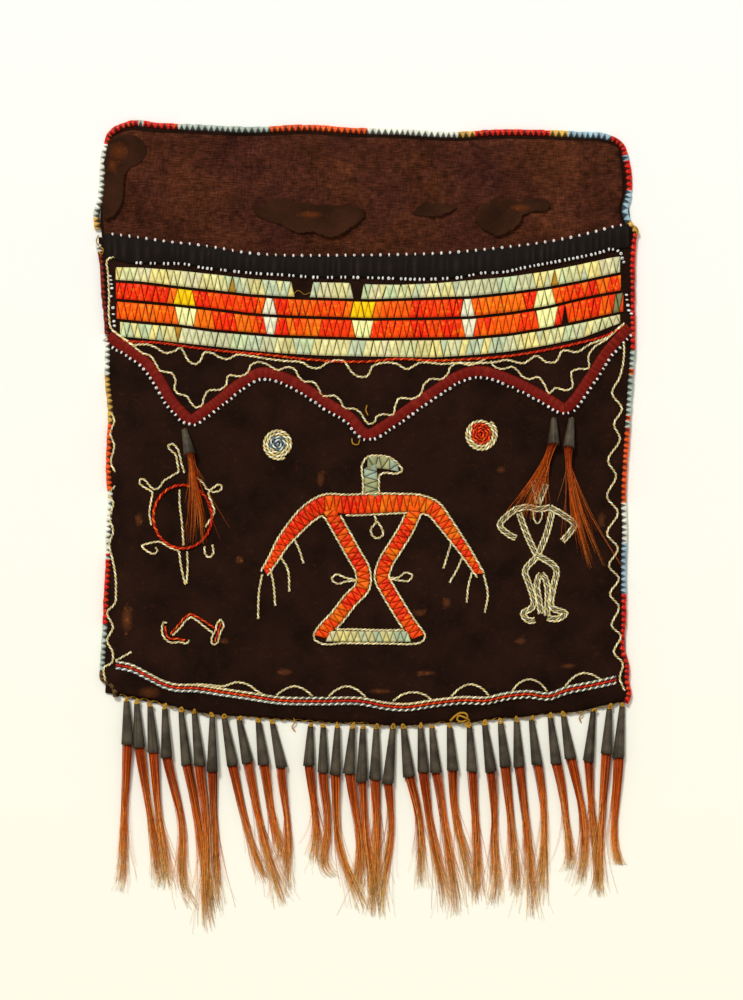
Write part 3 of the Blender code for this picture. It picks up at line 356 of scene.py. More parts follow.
def weave_material(name, brown, plum, pitch):
    """Fulled plain weave: noise drawn out along the cloth and, more faintly, across it for the threads,
    over slow mottling between two browns."""
    made, tree, shader = new_material(name, 0.95, specular=0.04)
    place = object_place(tree)
    tone, threads = 1.0, []
    for stretch, contrast in (((0.14, 1.0, 1.0), 0.5), ((1.0, 0.2, 1.0), 0.34)):
        drawn = put(tree, "ShaderNodeVectorMath", {0: place, 1: stretch}, operation="MULTIPLY").outputs[0]
        thread = noise(tree, drawn, 1 / pitch, 3.0)
        tone = value_of(tree, "MULTIPLY", spread(tree, thread, 0.3, 0.7, 1 - contrast, 1 + contrast), tone)
        threads.append(thread)
    for size, contrast in ((55.0, 0.3), (320.0, 0.34)):
        patch = noise(tree, place, size, 5.0)
        tone = value_of(tree, "MULTIPLY", spread(tree, patch, 0.3, 0.7, 1 - contrast, 1 + contrast), tone)
    slow = noise(tree, place, 26.0, 4.0)
    base = toned(tree, blended(tree, spread(tree, slow, 0.35, 0.65), colour(brown), colour(plum)), tone)
    finish_surface(tree, shader, base, value_of(tree, "ADD", *threads), 0.2 * MM, 0.5)
    return made


LINING_WEAVE = weave_material("brown_wool_weave", LINING_BROWN, LINING_PLUM, LINING_THREAD)
lining_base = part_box("lining_cloth")[0].z


def lining_height(x, y):
    """Height of the lining's upper face: its solid's base and thickness, and slow waves up to half a
    millimetre."""
    return lining_base + LINING_THICKNESS + 0.35 * MM * (1 + waves(x, y, 38 * MM, 3))


lining_rows, lining_columns = 84, 76
across, up = np.meshgrid(np.linspace(0, 1, lining_columns), np.linspace(0, 1, lining_rows))
lining_left, lining_right = left_edge(0 * up, 7 * MM), right_edge(0 * up, 7 * MM)
lining_x = lining_left + (lining_right - lining_left) * across
lining_foot, lining_top = hem(lining_x) + 8 * MM, top_edge(lining_x) - BINDING_WIDTH - BARE_RIM
lining_y = lining_foot + (lining_top - lining_foot) * up
above = np.clip((lining_y - mouth(lining_x) + 12 * MM) / (8 * MM), 0, 1)
side_inset = BINDING_WIDTH + BARE_RIM + 3 * MM * (1 - above)
lining_left, lining_right = left_edge(lining_y, side_inset), right_edge(lining_y, side_inset)
lining_x = lining_left + (lining_right - lining_left) * across
lining_y = np.minimum(lining_y, top_edge(lining_x) - BINDING_WIDTH - BARE_RIM)
lining_top_face = np.dstack((lining_x, lining_y, lining_height(lining_x, lining_y)))
lining_under = lining_top_face - (0, 0, LINING_THICKNESS)
lining = new_piece("lining", [shell(lining_top_face, lining_under)], LINING_WEAVE, "pouch", ["lining_cloth"])


# Scraps of the back panel's inner hide, still stuck to the lining where the rest has torn away: dry,
# cracked and lifted at their ragged edges.

REMNANT_PX = {
    "hide_remnant_corner": [(111, 140), (126, 136), (144, 141), (147, 152), (139, 164), (130, 168),
        (125, 178), (124, 192), (122, 205), (114, 217), (106, 220), (103, 208), (105, 190), (105, 168),
        (107, 150)],
    "hide_remnant_middle": [(254, 212), (262, 206), (279, 199), (300, 203), (330, 206), (358, 208),
        (366, 214), (358, 224), (345, 233), (333, 238), (313, 233), (294, 233), (283, 226), (269, 222)],
    "hide_remnant_right": [(475, 221), (481, 208), (489, 202), (505, 199), (517, 202), (530, 200),
        (549, 203), (549, 210), (532, 212), (523, 216), (517, 226), (506, 234), (497, 237), (486, 232)],
}
REMNANT_THICKNESS = 0.5 * MM
DRIED_BROWN, DRIED_RUST = (52, 28, 15), (122, 58, 20)
REMNANT_HIDE = hide_material("dried_inner_hide", DRIED_BROWN, DRIED_RUST, worn=True)
RUST_PX = [(119, 152, 11, 10), (113, 166, 5, 8), (520, 208, 12, 4), (310, 215, 14, 4)]


def wear_mask(x, y, spots_px, rim=0.0):
    """How worn the hide is, from 0 to 1: a bell round each spot, and with a rim, the worn hem and sides
    too."""
    worn = np.zeros_like(x)
    for px, py, half_width, half_height in spots_px:
        (cx, cy), = from_photo([(px, py)])
        distance = ((x - cx) / (half_width * PIXEL)) ** 2 + ((y - cy) / (half_height * PIXEL)) ** 2
        worn = np.maximum(worn, np.exp(-0.8 * distance))
    edge = np.minimum(y - hem(x), np.minimum(x - left_edge(y), right_edge(y) - x))
    return np.maximum(worn, rim * np.clip(1 - edge / (5 * MM), 0, 1))


def add_value(piece, name, values):
    """A named number on each point of a piece."""
    made = piece.data.attributes.new(name, "FLOAT", "POINT")
    made.data.foreach_set("value", np.asarray(values, np.float32))


def unit(vectors):
    """Vectors with their lengths made one."""
    return vectors / np.linalg.norm(vectors, axis=-1, keepdims=True)


def scrap(outline_px, seed, thickness=REMNANT_THICKNESS, rings=14):
    """A ragged patch: rings that shrink from a jagged outline to its middle, each as high as the lining
    below it and a thickness. Its lower and right edges have sprung up, and the rest lies flat."""
    chance = np.random.default_rng(seed)
    border = smooth(from_photo(outline_px), 0.7 * MM, closed=True)[:-1]
    middle = border.mean(axis=0)
    count = len(border)
    tear = np.convolve(np.tile(chance.normal(0, 1, count), 3), [0.25, 0.5, 0.25], "same")[count:2 * count]
    outward = unit(border - middle)
    border = border + outward * tear[:, None] * 0.5 * MM
    share = np.linspace(1, 0.02, rings)[:, None, None]
    flat = middle + (border - middle) * share
    x, y = flat[..., 0], flat[..., 1]
    sprung = np.clip(outward @ (0.5, -0.87) + 0.15, 0, 1)
    curl = np.clip((share[..., 0] - 0.6) / 0.4, 0, 1) ** 2 * sprung
    ground = lining_height(x, y) + 0.04 * MM
    top = ground + thickness * (0.3 + 0.7 * sprung) + (1.5 + 0.7 * waves(x, y, 9 * MM, seed)) * MM * curl
    upper = np.dstack((x, y, top + 0.12 * MM * (1 + waves(x, y, 12 * MM, seed + 5))))
    lower = np.dstack((x, y, np.maximum(top - thickness * 0.8, ground - 0.1 * MM)))
    faces = grid_triangles(rings, count, closed=True)
    total = rings * count
    first, ahead = np.arange(count), (np.arange(count) + 1) % count
    rim = np.concatenate((np.column_stack((first, first + total, ahead)),
                          np.column_stack((ahead, first + total, ahead + total))))
    last = total - count
    hubs = 2 * total + np.arange(2)
    upper_cap = np.column_stack((first + last, ahead + last, np.full(count, hubs[0])))
    lower_cap = np.column_stack((ahead + last + total, first + last + total, np.full(count, hubs[1])))
    caps = np.concatenate((upper_cap, lower_cap))
    middles = [upper[-1].mean(0), lower[-1].mean(0)]
    points = np.concatenate((upper.reshape(-1, 3), lower.reshape(-1, 3), middles))
    return points, np.concatenate((faces, faces[:, ::-1] + total, rim, caps))


CHIP_PX = [(412, 214), (425, 204), (441, 204), (456, 208), (446, 214), (430, 217)]
for number, (node_name, outline_px) in enumerate((*REMNANT_PX.items(), ("torn_hide_chip", CHIP_PX))):
    piece_name = node_name.replace("hide_remnant", "torn_hide")
    remnant = new_piece(piece_name, [scrap(outline_px, 11 + number)], REMNANT_HIDE, "pouch",
                        [node_name] if node_name in REMNANT_PX else [])
    place = np.array([v.co for v in remnant.data.vertices])
    add_value(remnant, "wear", wear_mask(place[:, 0], place[:, 1], RUST_PX))

# The front panel: a second piece of black-dyed deerskin, sewn to the back one at its sides and hem, and
# left open at its curved upper edge as the pocket's mouth. It stands off the back a little, and is rubbed
# brown in places.

face_low, face_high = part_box("front_panel")
SEAM_HEIGHT = face_low.z + HIDE_THICKNESS
LOFT = face_high.z - SEAM_HEIGHT
SIDE_FALL, HEM_FALL = 26 * MM, 24 * MM
SPOTS_PX = [  # where dye has rubbed off: place, half width, half height
    (321, 479, 4, 9), (446, 602, 5, 6), (419, 612, 8, 4), (128, 618, 6, 15), (285, 671, 8, 4),
    (150, 692, 13, 7), (425, 672, 12, 3), (567, 665, 9, 3), (240, 560, 5, 4), (520, 640, 6, 4),
    (600, 520, 4, 9), (140, 520, 4, 8), (225, 640, 6, 3), (380, 690, 14, 3), (500, 470, 5, 4),
]


def face_height(x, y):
    """Height of the front panel: its seam's height, plus its loft times one less the square of the nearness
    to the closest seam, from 0 at the end of the fall to 1 on the seam, plus a slow waviness that grows
    with the loft."""
    side_gap = np.minimum(x - left_edge(y), right_edge(y) - x)
    near = np.maximum(1 - side_gap / SIDE_FALL, 1 - (y - hem(x)) / HEM_FALL)
    rise = 1 - np.clip(near, 0, 1) ** 2
    return SEAM_HEIGHT + LOFT * rise + 0.4 * MM * rise * waves(x, y, 55 * MM, 8)


face_columns, face_rows = 160, 150
across, up = np.meshgrid(np.linspace(0, 1, face_columns), np.linspace(0, 1, face_rows))
side_low = left_edge(0 * up) + (right_edge(0 * up) - left_edge(0 * up)) * across
face_y = hem(side_low) + (mouth(side_low) - hem(side_low)) * up
face_x = left_edge(face_y) + (right_edge(face_y) - left_edge(face_y)) * across
face_top = np.dstack((face_x, face_y, face_height(face_x, face_y)))
FRONT_HIDE = hide_material("rubbed_black_deerskin", HIDE_BLACK, HIDE_BROWN, worn=True)
front = new_piece("front_hide", [shell(face_top, face_top - (0, 0, HIDE_THICKNESS))], FRONT_HIDE, "pouch",
                  ["front_panel"])
front_points = np.concatenate((face_top.reshape(-1, 3), face_top.reshape(-1, 3)))
add_value(front, "wear", wear_mask(front_points[:, 0], front_points[:, 1], SPOTS_PX, rim=0.3))

# The mouth binding: a black silk ribbon folded over the pocket's edge and gathered as it was sewn, so that it
# stands in small pleats between the stitched beads.

RIBBON_FACE_PX = [
    (110, 259), (128, 264), (162, 265.4), (187, 266), (201, 269), (226, 272), (254, 275), (283, 276.6),
    (315, 279), (349, 279), (389, 280), (422, 281), (448, 280), (461, 279), (479, 275), (501, 274),
    (525, 269), (550, 264.4), (573, 260), (596, 255), (612, 251), (626, 249),
]
RIBBON_INSIDE = 5.5 * MM
RIBBON_THICKNESS = 0.35 * MM
RIBBON_INSET = 3.2 * MM
SILK_BLACK = (23, 17, 12)
SILK_BLACK_WEAR_AND_HIGHLIGHT = (54, 43, 33)
foot_curve = edge_curve(RIBBON_FACE_PX, 0)


def silk_material(name, dark, light, rib_axis, rib=0.5 * MM, roughness=0.55):
    """Ribbed silk: fine ribs along one UV direction, and lighter on the crests of pleats, in patches: partly
    rubbed wear and partly a painted highlight.
    """
    made, tree, shader = new_material(name, roughness, specular=0.07)
    uv = put(tree, "ShaderNodeSeparateXYZ", {0: put(tree, "ShaderNodeUVMap", uv_map="run").outputs[0]})
    ribs = value_of(tree, "SINE", value_of(tree, "MULTIPLY", uv.outputs[rib_axis], math.tau / rib))
    place = object_place(tree)
    crest_patches, fine = noise(tree, place, 120.0, 6.0), noise(tree, place, 1300.0, 4.0)
    # Lighter on the pleats' crests: partly rubbed wear, partly a painted highlight.
    worn = value_of(tree, "MULTIPLY", attribute(tree, "crest"), spread(tree, crest_patches, 0.35, 0.65, 0.2, 1.0))
    specks = spread(tree, fine, 0.3, 0.7, 0.75, 1.25)
    tone = value_of(tree, "MULTIPLY", spread(tree, ribs, -1.0, 1.0, 0.85, 1.1), specks)
    base = toned(tree, blended(tree, worn, colour(dark), colour(light)), tone)
    finish_surface(tree, shader, base, value_of(tree, "MULTIPLY_ADD", fine, 0.8, ribs), 0.08 * MM, 0.6)
    return made


def add_run_uv(piece, run, width):
    """A UV map in metres: how far along a ribbon each point is, and how far across it."""
    index = np.empty(len(piece.data.loops), np.int32)
    piece.data.loops.foreach_get("vertex_index", index)
    uv = piece.data.uv_layers.new(name="run")
    uv.data.foreach_set("uv", np.column_stack((run, width))[index].astype(np.float32).ravel())


def pleats(run, seed, size):
    """Gathers along a run, from 0 in a fold's valley to 1 on its crest: a sine wave whose length and size
    wander."""
    chance = np.random.default_rng(seed)
    keys = np.arange(0, run.max() + size, size)
    phase = np.interp(run, keys, np.cumsum(chance.uniform(0.4, 1.7, len(keys))) * math.tau)
    return 0.5 + 0.5 * np.sin(phase) * np.interp(run, keys, chance.uniform(0.2, 1, len(keys)))


ribbon_columns, ribbon_rows = 460, 22
ribbon_start, ribbon_end = left_edge(mouth(-0.12)) + RIBBON_INSET, right_edge(mouth(0.12)) - RIBBON_INSET
ribbon_x = np.linspace(ribbon_start, ribbon_end, ribbon_columns)
ribbon_lip = mouth(ribbon_x) + 0.7 * MM
ribbon_foot = np.interp(ribbon_x, foot_curve[:, 0], foot_curve[:, 1])
gather = pleats(ribbon_x - ribbon_x[0], 5, 4.2 * MM)
lip_share, inner_share = 0.55, 0.2  # shares of the profile on the face and round the lip
profile = np.linspace(0, 1, ribbon_rows)[:, None]
on_face = np.clip(profile / lip_share, 0, 1)
round_lip = np.clip((profile - lip_share) / inner_share, 0, 1)
inside = np.clip((profile - lip_share - inner_share) / (1 - lip_share - inner_share), 0, 1)
ribbon_y = (ribbon_foot + (ribbon_lip - ribbon_foot) * on_face + 0.5 * MM * np.sin(math.pi * round_lip)
            - RIBBON_INSIDE * inside)
outer = face_height(ribbon_x, np.minimum(ribbon_y, mouth(ribbon_x))) + 0.5 * MM
inner = outer - HIDE_THICKNESS - 1.4 * MM
puff = np.sin(math.pi * np.clip(on_face, 0, 0.96) ** 0.8) * (1 - round_lip)
ribbon_z = outer + (inner - outer) * round_lip + puff * (0.35 + 0.75 * gather) * MM
ribbon_y = ribbon_y + (gather - 0.5) * 0.45 * MM * np.sin(math.pi * round_lip + 0.4)
ribbon_top = np.dstack((np.broadcast_to(ribbon_x, ribbon_y.shape), ribbon_y, ribbon_z))
inward = unit(np.cross(np.gradient(ribbon_top, axis=1), np.gradient(ribbon_top, axis=0)))
BLACK_SILK = silk_material("gathered_black_silk", SILK_BLACK, SILK_BLACK_WEAR_AND_HIGHLIGHT, 0)
ribbon_under = ribbon_top - inward * RIBBON_THICKNESS
mouth_ribbon = new_piece("mouth_ribbon", [shell(ribbon_top, ribbon_under)], BLACK_SILK, "pouch",
                         ["mouth_binding"])
ribbon_run = np.broadcast_to(ribbon_x, ribbon_y.shape).ravel()
ribbon_width = np.broadcast_to(profile * 18 * MM, ribbon_y.shape).ravel()
add_run_uv(mouth_ribbon, np.tile(ribbon_run, 2), np.tile(ribbon_width, 2))
# The crest lightens the silk on the pleats' tops: partly rubbed wear, partly a painted highlight.
ribbon_crest = (np.broadcast_to(gather, ribbon_y.shape) ** 3 * puff).ravel()
add_value(mouth_ribbon, "crest", np.tile(ribbon_crest, 2))

# White seed beads, each a short ring of glass: one at a time along the ribbon's lip, in pairs along its
# lower edge, and in a row along the lower side of the red zigzag.

BEAD_RADIUS = 0.84 * MM
BEAD_WHITE, BEAD_DIRT = (250, 248, 240), (150, 128, 96)
BEAD_COLUMNS_PX = [
    (111, 277), (112, 281), (112.5, 285), (113, 289), (112, 297), (114, 308.5), (114.5, 315), (115, 322),
    (115.5, 326.5), (625.5, 295.6), (626, 300.5), (627, 306), (628, 311), (630.5, 314.3),
]
ZIGZAG_PX = [
    (109, 336), (114, 340.5), (131, 351), (149, 365), (161, 381), (170, 397), (181, 411), (192.7, 420),
    (204, 413), (219, 402), (236, 388), (251, 378), (262, 373.6), (277, 376), (295, 383), (313, 394),
    (331, 406), (349, 417), (369, 434.7), (380, 429), (397, 418), (415, 405), (434, 392), (452, 380),
    (467, 373.6), (478, 372), (497, 376), (517, 384), (536, 394), (552, 403), (563.4, 409), (573, 401),
    (582, 388), (593, 372), (604, 355), (617, 340), (629, 328),
]
ZIGZAG_WIDTH = 5.3 * MM
ZIGZAG_STEP = 0.8 * MM
FOOT_END_PX = [(621, 256), (622, 264)]


def beads(centres, axes, radius=BEAD_RADIUS, seed=1):
    """Rings of glass round their own axes: each is a torus, a circle of tube sections, turned to its axis."""
    chance = np.random.default_rng(seed)
    count = len(centres)
    sizes = radius * chance.uniform(0.86, 1.12, count)
    axes = unit(unit(axes) + (0, 0, 1) * chance.normal(0, 0.55, (count, 1)))
    across_axis = np.cross(axes, (0.0, 0.0, 1.0))
    level = np.linalg.norm(across_axis, axis=1) < 0.1
    across_axis[level] = (1.0, 0.0, 0.0)
    across_axis = unit(across_axis)
    up_axis = np.cross(across_axis, axes)
    turns, sections = 9, 6
    around, section = [np.arange(steps) * math.tau / steps for steps in (turns, sections)]
    around, section = np.meshgrid(around, section, indexing="ij")
    reach, half = 0.66 + 0.34 * np.cos(section), 0.5 * np.sin(section)
    across_axis, up_axis, axes = [directions[:, None, None] for directions in (across_axis, up_axis, axes)]
    shape = (across_axis * (reach * np.cos(around))[..., None] + up_axis * (reach * np.sin(around))[..., None]
             + axes * half[..., None])
    points = centres[:, None, None] + shape * sizes[:, None, None, None]
    each = turns * sections
    ring = grid_triangles(turns + 1, sections, closed=True) % each
    faces = ring[None] + (np.arange(count) * each)[:, None, None]
    tint = colour(BEAD_WHITE) * chance.uniform(0.8, 1.0, (count, 1))
    return points.reshape(-1, 3), faces.reshape(-1, 3), np.repeat(tint, each, axis=0)


def glass_material(name):
    """Opaque glass: its own tint, dulled by dirt in fine patches, under a clear gloss."""
    made, tree, shader = new_material(name, 0.2, coat=0.3)
    dirt = noise(tree, object_place(tree), 900.0, 3.0)
    tint = attribute(tree, "tint", "Color")
    base = blended(tree, spread(tree, dirt, 0.5, 0.75, 0.0, 0.35), tint, colour(BEAD_DIRT))
    finish_surface(tree, shader, base, dirt, 0.05 * MM, 0.4)
    return made


BEAD_GLASS = glass_material("white_bead_glass")
lip_path = smooth(np.column_stack((ribbon_x, ribbon_lip + 0.5 * MM)), 4.3 * MM)[1:-1]
lip_centres = np.column_stack((lip_path, face_height(lip_path[:, 0], mouth(lip_path[:, 0])) + 0.7 * MM))
lip_beads = beads(lip_centres, np.tile((1.0, 0.15, 0.0), (len(lip_centres), 1)), seed=2)
foot_chance = np.random.default_rng(7)
foot_gaps_px = np.concatenate((foot_chance.uniform(9, 14.5, 33), foot_chance.uniform(8.4, 9.6, 17)))
foot_step = 0.2 * MM
foot_line = smooth(from_photo(RIBBON_FACE_PX[1:-1] + FOOT_END_PX), foot_step)
foot_at = np.round(np.cumsum(foot_gaps_px) * PIXEL / foot_step).astype(int)
foot_path = foot_line[foot_at[foot_at < len(foot_line) - 2]]
foot_along = unit(np.gradient(foot_path, axis=0))
pair = np.concatenate([foot_path + foot_along * BEAD_RADIUS * side for side in (-1.25, 1.25)])
pair_heights = face_height(pair[:, 0], pair[:, 1]) + BEAD_RADIUS + 0.25 * MM
pair_centres = np.column_stack((pair, pair_heights))
pair_axes = np.column_stack((np.tile(foot_along, (2, 1)), np.zeros(len(pair))))
pair_beads = beads(pair_centres, pair_axes, seed=3)
new_piece("mouth_beads", [lip_beads, pair_beads], BEAD_GLASS, "pouch", ())


def side_step(path, distance):
    """A flat path moved sideways to its right by a distance."""
    along = unit(np.gradient(path, axis=0))
    return path + np.column_stack((along[:, 1], -along[:, 0])) * distance


zigzag_path = smooth(from_photo(ZIGZAG_PX), ZIGZAG_STEP)
bead_run = smooth(side_step(zigzag_path, ZIGZAG_WIDTH / 2 + 0.5 * MM)[::6], 2.8 * MM)
bead_run = bead_run + np.random.default_rng(12).normal(0, 0.16 * MM, bead_run.shape)
column = from_photo(BEAD_COLUMNS_PX)
low_centres = np.concatenate((bead_run, column))
bead_axes = np.concatenate((np.gradient(bead_run, axis=0), np.tile((0.1, 1.0), (len(column), 1))))
low_heights = face_height(low_centres[:, 0], low_centres[:, 1]) + BEAD_RADIUS + 0.1 * MM
bead_axes = np.column_stack((bead_axes, 0 * low_heights))
zigzag_beads = beads(np.column_stack((low_centres, low_heights)), bead_axes, seed=4)
new_piece("zigzag_beads", [zigzag_beads], BEAD_GLASS, "pouch", ())

# The zigzag: a narrow red silk ribbon sewn down flat, turned over itself at its points.

SILK_RED = (108, 18, 9)
SILK_RED_WEAR_AND_HIGHLIGHT = (164, 46, 24)
RIBBON_GAUGE = 0.4 * MM
strip_rows = np.linspace(-1, 1, 9)
zigzag_left = side_step(zigzag_path, -ZIGZAG_WIDTH / 2)
zigzag_right = side_step(zigzag_path, ZIGZAG_WIDTH / 2)
strip_share = (strip_rows[:, None, None] + 1) / 2
strip_flat = zigzag_left[None] * (1 - strip_share) + zigzag_right[None] * strip_share
strip_run = np.arange(len(zigzag_path)) * ZIGZAG_STEP
strip_gather = pleats(strip_run, 9, 3.4 * MM)
strip_camber = 0.5 * MM * (1 - strip_rows[:, None] ** 2)
strip_camber = strip_camber + 0.4 * MM * strip_gather * (1 - strip_rows[:, None] ** 4)
strip_x, strip_y = strip_flat[..., 0], strip_flat[..., 1]
strip_top = np.dstack((strip_x, strip_y, face_height(strip_x, strip_y) + 0.45 * MM + strip_camber))
RED_SILK = silk_material("sewn_red_silk", SILK_RED, SILK_RED_WEAR_AND_HIGHLIGHT, 0, rib=0.9 * MM)
strip_top = strip_top[::-1]
zigzag = new_piece("red_zigzag", [shell(strip_top, strip_top - (0, 0, RIBBON_GAUGE))], RED_SILK, "pouch",
                   ["zigzag_ribbon"])
strip_across = np.repeat(strip_rows * ZIGZAG_WIDTH / 2, len(strip_run))
add_run_uv(zigzag, np.tile(strip_run, 2 * len(strip_rows)), np.tile(strip_across, 2))
# The crest lightens the silk on the pleats' tops: partly rubbed wear, partly a painted highlight.
add_value(zigzag, "crest", np.tile(strip_gather**2 * 0.6, 2 * len(strip_rows)))

# The quill band: four rows of flattened porcupine quills, folded to and fro over two lines of stitches, so
# that each fold shows as a pointed leaf. The middle rows are dyed orange-red with blocks of yellow, cream
# and grey.

BAND_LINES_PX = [
    [(117, 267), (144, 268), (179, 270.7), (215, 274.6), (251, 279), (292, 282), (347, 283), (368, 284.5),
     (397, 285), (434, 283.6), (471, 280.3), (508, 277), (545, 271.6), (582, 264), (617, 256)],
    [(115, 282), (144, 284.5), (179, 289), (215, 293), (251, 297), (279, 299), (322, 300.5), (369, 302),
     (434, 300), (471, 299), (508, 295), (545, 290), (582, 283), (622, 274)],
    [(117, 301), (144, 303.6), (179, 307), (215, 311), (251, 315.7), (286, 318), (369, 320.7), (434, 320),
     (471, 319), (508, 315), (545, 309), (582, 300), (623, 292)],
    [(119, 321), (144, 324), (179, 327), (215, 332), (251, 335), (279, 337.5), (322, 339), (369, 340.5),
     (434, 340), (471, 339.5), (508, 336), (545, 330), (582, 322.5), (619, 314)],
    [(123, 338.6), (144, 341), (179, 345), (215, 349), (251, 353), (286, 356), (322, 358), (369, 359),
     (434, 360), (471, 357.6), (508, 354), (545, 348), (582, 340), (622, 324)],
]
BAND_ENDS_PX = [(117, 619), (117, 620), (118, 622), (121, 619)]  # first and last fold of each row
FOLD_PX = 7.3
ROW_GAP_PX = 1.0  # how far a row stops short of its stitched lines
QUILL_RED, QUILL_TAN = (232, 34, 8), (176, 124, 34)
QUILL_FIRE = [(252, 52, 2), (255, 70, 2), (255, 90, 4), (255, 108, 10), (242, 40, 2)]
QUILL_PALE = [
    (228, 218, 152), (216, 214, 154), (238, 220, 138), (200, 212, 162), (222, 212, 162), (194, 204, 166),
    (220, 208, 138), (208, 206, 160),
]
QUILL_YELLOW, QUILL_CREAM = (255, 202, 4), (255, 250, 170)
QUILL_GREY, QUILL_OLIVE = (236, 230, 196), (132, 134, 84)
BAND_BLOCKS_PX = [  # colour blocks of the middle rows: row, middle, half width, colour
    (1, 187.5, 11, QUILL_YELLOW), (2, 187.5, 11, QUILL_CREAM), (1, 364.5, 11, QUILL_YELLOW),
    (2, 364.5, 11, QUILL_CREAM), (1, 543, 10, QUILL_CREAM), (2, 543, 10, QUILL_CREAM),
    (1, 272, 7, QUILL_GREY), (2, 272, 7, QUILL_GREY), (1, 467, 7, QUILL_GREY), (2, 467, 7, QUILL_GREY),
    (2, 617, 6, QUILL_OLIVE),
]
BAND_TAN_PX = [(0, 234), (3, 181), (0, 552)]  # quills that have gone tan: row and place
BAND_GAPS_PX = [  # row, and from where to where
    (0, 293, 313), (0, 352, 361), (2, 553, 556.5), (2, 563, 567),
]
QUILL_LIFT = 0.3 * MM
QUILL_CREST = 0.75 * MM


def in_runs(count, palette, chance, longest=4):
    """Colours for a row of folds: each quill makes a few folds before the next one is spliced in."""
    picks = chance.integers(0, len(palette), count)
    picks = np.repeat(picks, chance.integers(1, longest + 1, count))[:count]
    shades = np.array([colour(shade) for shade in palette])[picks]
    return np.clip(shades * chance.uniform(0.88, 1.12, (count, 1)), 0, 1)


def leaves(corners, tints, crest=QUILL_CREST, gap=0.085):
    """Folded leaves: each triangle is drawn in from its stitches by a gap. It lies like a shingle, high at
    its base, the first two corners, and low at its tip, with a rounded rim and a skirt down to the hide."""
    steps = 5
    i, j = np.array([(i, j) for i in range(steps + 1) for j in range(steps + 1 - i)]).T
    weights = np.column_stack((i, j, steps - i - j)) / steps
    order = {pair: k for k, pair in enumerate(zip(i.tolist(), j.tolist()))}
    top = [(order[a, b], order[a + 1, b], order[a, b + 1]) for a in range(steps) for b in range(steps - a)]
    top += [(order[a + 1, b], order[a + 1, b + 1], order[a, b + 1])
            for a in range(steps - 1) for b in range(steps - 1 - a)]
    border = [order[k, 0] for k in range(steps)] + [order[steps - k, k] for k in range(steps)]
    border += [order[0, steps - k] for k in range(steps)]
    middle = corners.mean(axis=1, keepdims=True)
    flat = np.einsum("pw,kwd->kpd", weights, middle + (corners - middle) * (1 - gap))
    inner = weights.min(axis=1) > 0
    rise = (0.3 + 0.35 * inner) + 0.35 * (1 - weights[:, 2])
    x, y = flat[..., 0], flat[..., 1]
    ground = face_height(x, y) + QUILL_LIFT
    upper = np.dstack((x, y, ground + crest * rise))
    skirt = np.dstack((x, y, ground - 0.3 * MM))[:, border]
    count = len(weights)
    edge = np.array(border)
    below = count + np.arange(len(edge))
    ahead, below_ahead = np.roll(edge, -1), np.roll(below, -1)
    halves = (edge, below, ahead), (ahead, below, below_ahead)
    around = np.concatenate([np.column_stack(half) for half in halves])
    floor = np.column_stack((np.full(len(edge) - 2, below[0]), below[2:], below[1:-1]))
    faces = np.concatenate((np.array(top), around, floor))
    flipped = np.cross(corners[:, 1] - corners[:, 0], corners[:, 2] - corners[:, 0]) < 0
    one = count + len(edge)
    all_faces = np.where(flipped[:, None, None], faces[:, ::-1], faces)
    all_faces = all_faces + (np.arange(len(corners)) * one)[:, None, None]
    # Painted light and shade in the tint: each leaf is lighter towards its base and darker towards its tip
    # and at its rim, and its skirt down to the hide is painted dark at three tenths, as painted shade.
    shade = np.where(inner, 1.0, 0.84) * (0.92 + 0.14 * (1 - weights[:, 2]))
    tint = tints[:, None] * np.concatenate((shade, np.full(len(edge), 0.3)))[None, :, None]
    points = np.concatenate((upper, skirt), axis=1)
    return points.reshape(-1, 3), all_faces.reshape(-1, 3), tint.reshape(-1, 3)


def line_y(line, x):
    """Height of one of the band's stitched lines at x pixels."""
    return np.interp(x, *zip(*line))


def band_row(row, chance):
    """The corners and tints of one row's leaves: triangles whose bases take turns on its two lines, with
    half of one at each end."""
    first, last = BAND_ENDS_PX[row]
    folds = round((last - first) / FOLD_PX)
    fold = (last - first) / folds
    at = first - fold / 2 + fold / 2 * np.arange(2 * folds + 1)
    upward = np.arange(len(at)) % 2 == row % 2
    corners = []
    for offset, on_base in ((0, True), (fold, True), (fold / 2, False)):
        x = np.clip(at + offset, first, last)
        y_upper = line_y(BAND_LINES_PX[row], x) + ROW_GAP_PX
        y_lower = line_y(BAND_LINES_PX[row + 1], x) - ROW_GAP_PX
        corners.append(np.column_stack((x, np.where(upward != on_base, y_upper, y_lower))))
    corners = np.stack(corners, axis=1)
    corners[:, :, 0] += chance.normal(0, 0.25, corners.shape[:2])
    middle = corners[:, :, 0].mean(axis=1)
    kept = np.ones(len(at), bool)
    for gap_row, start, end in BAND_GAPS_PX:
        kept &= (gap_row != row) | (middle < start) | (middle > end)
    tints = in_runs(len(at), QUILL_PALE if row in (0, 3) else QUILL_FIRE, chance)
    for block_row, block, half_width, shade in BAND_BLOCKS_PX:
        narrow = np.where((row == 1) == upward, 0, 2.5)
        inside_block = (block_row == row) & (np.abs(middle - block) < half_width - narrow)
        shades = colour(shade) * chance.uniform(0.9, 1.04, (len(at), 1))
        tints = np.where(inside_block[:, None], shades, tints)
    for tan_row, tan in BAND_TAN_PX:
        tints[(tan_row == row) & (np.abs(middle - tan) < 2)] = colour(QUILL_TAN)
    flat = from_photo(corners.reshape(-1, 2)).reshape(-1, 3, 2)
    return flat[kept], tints[kept]


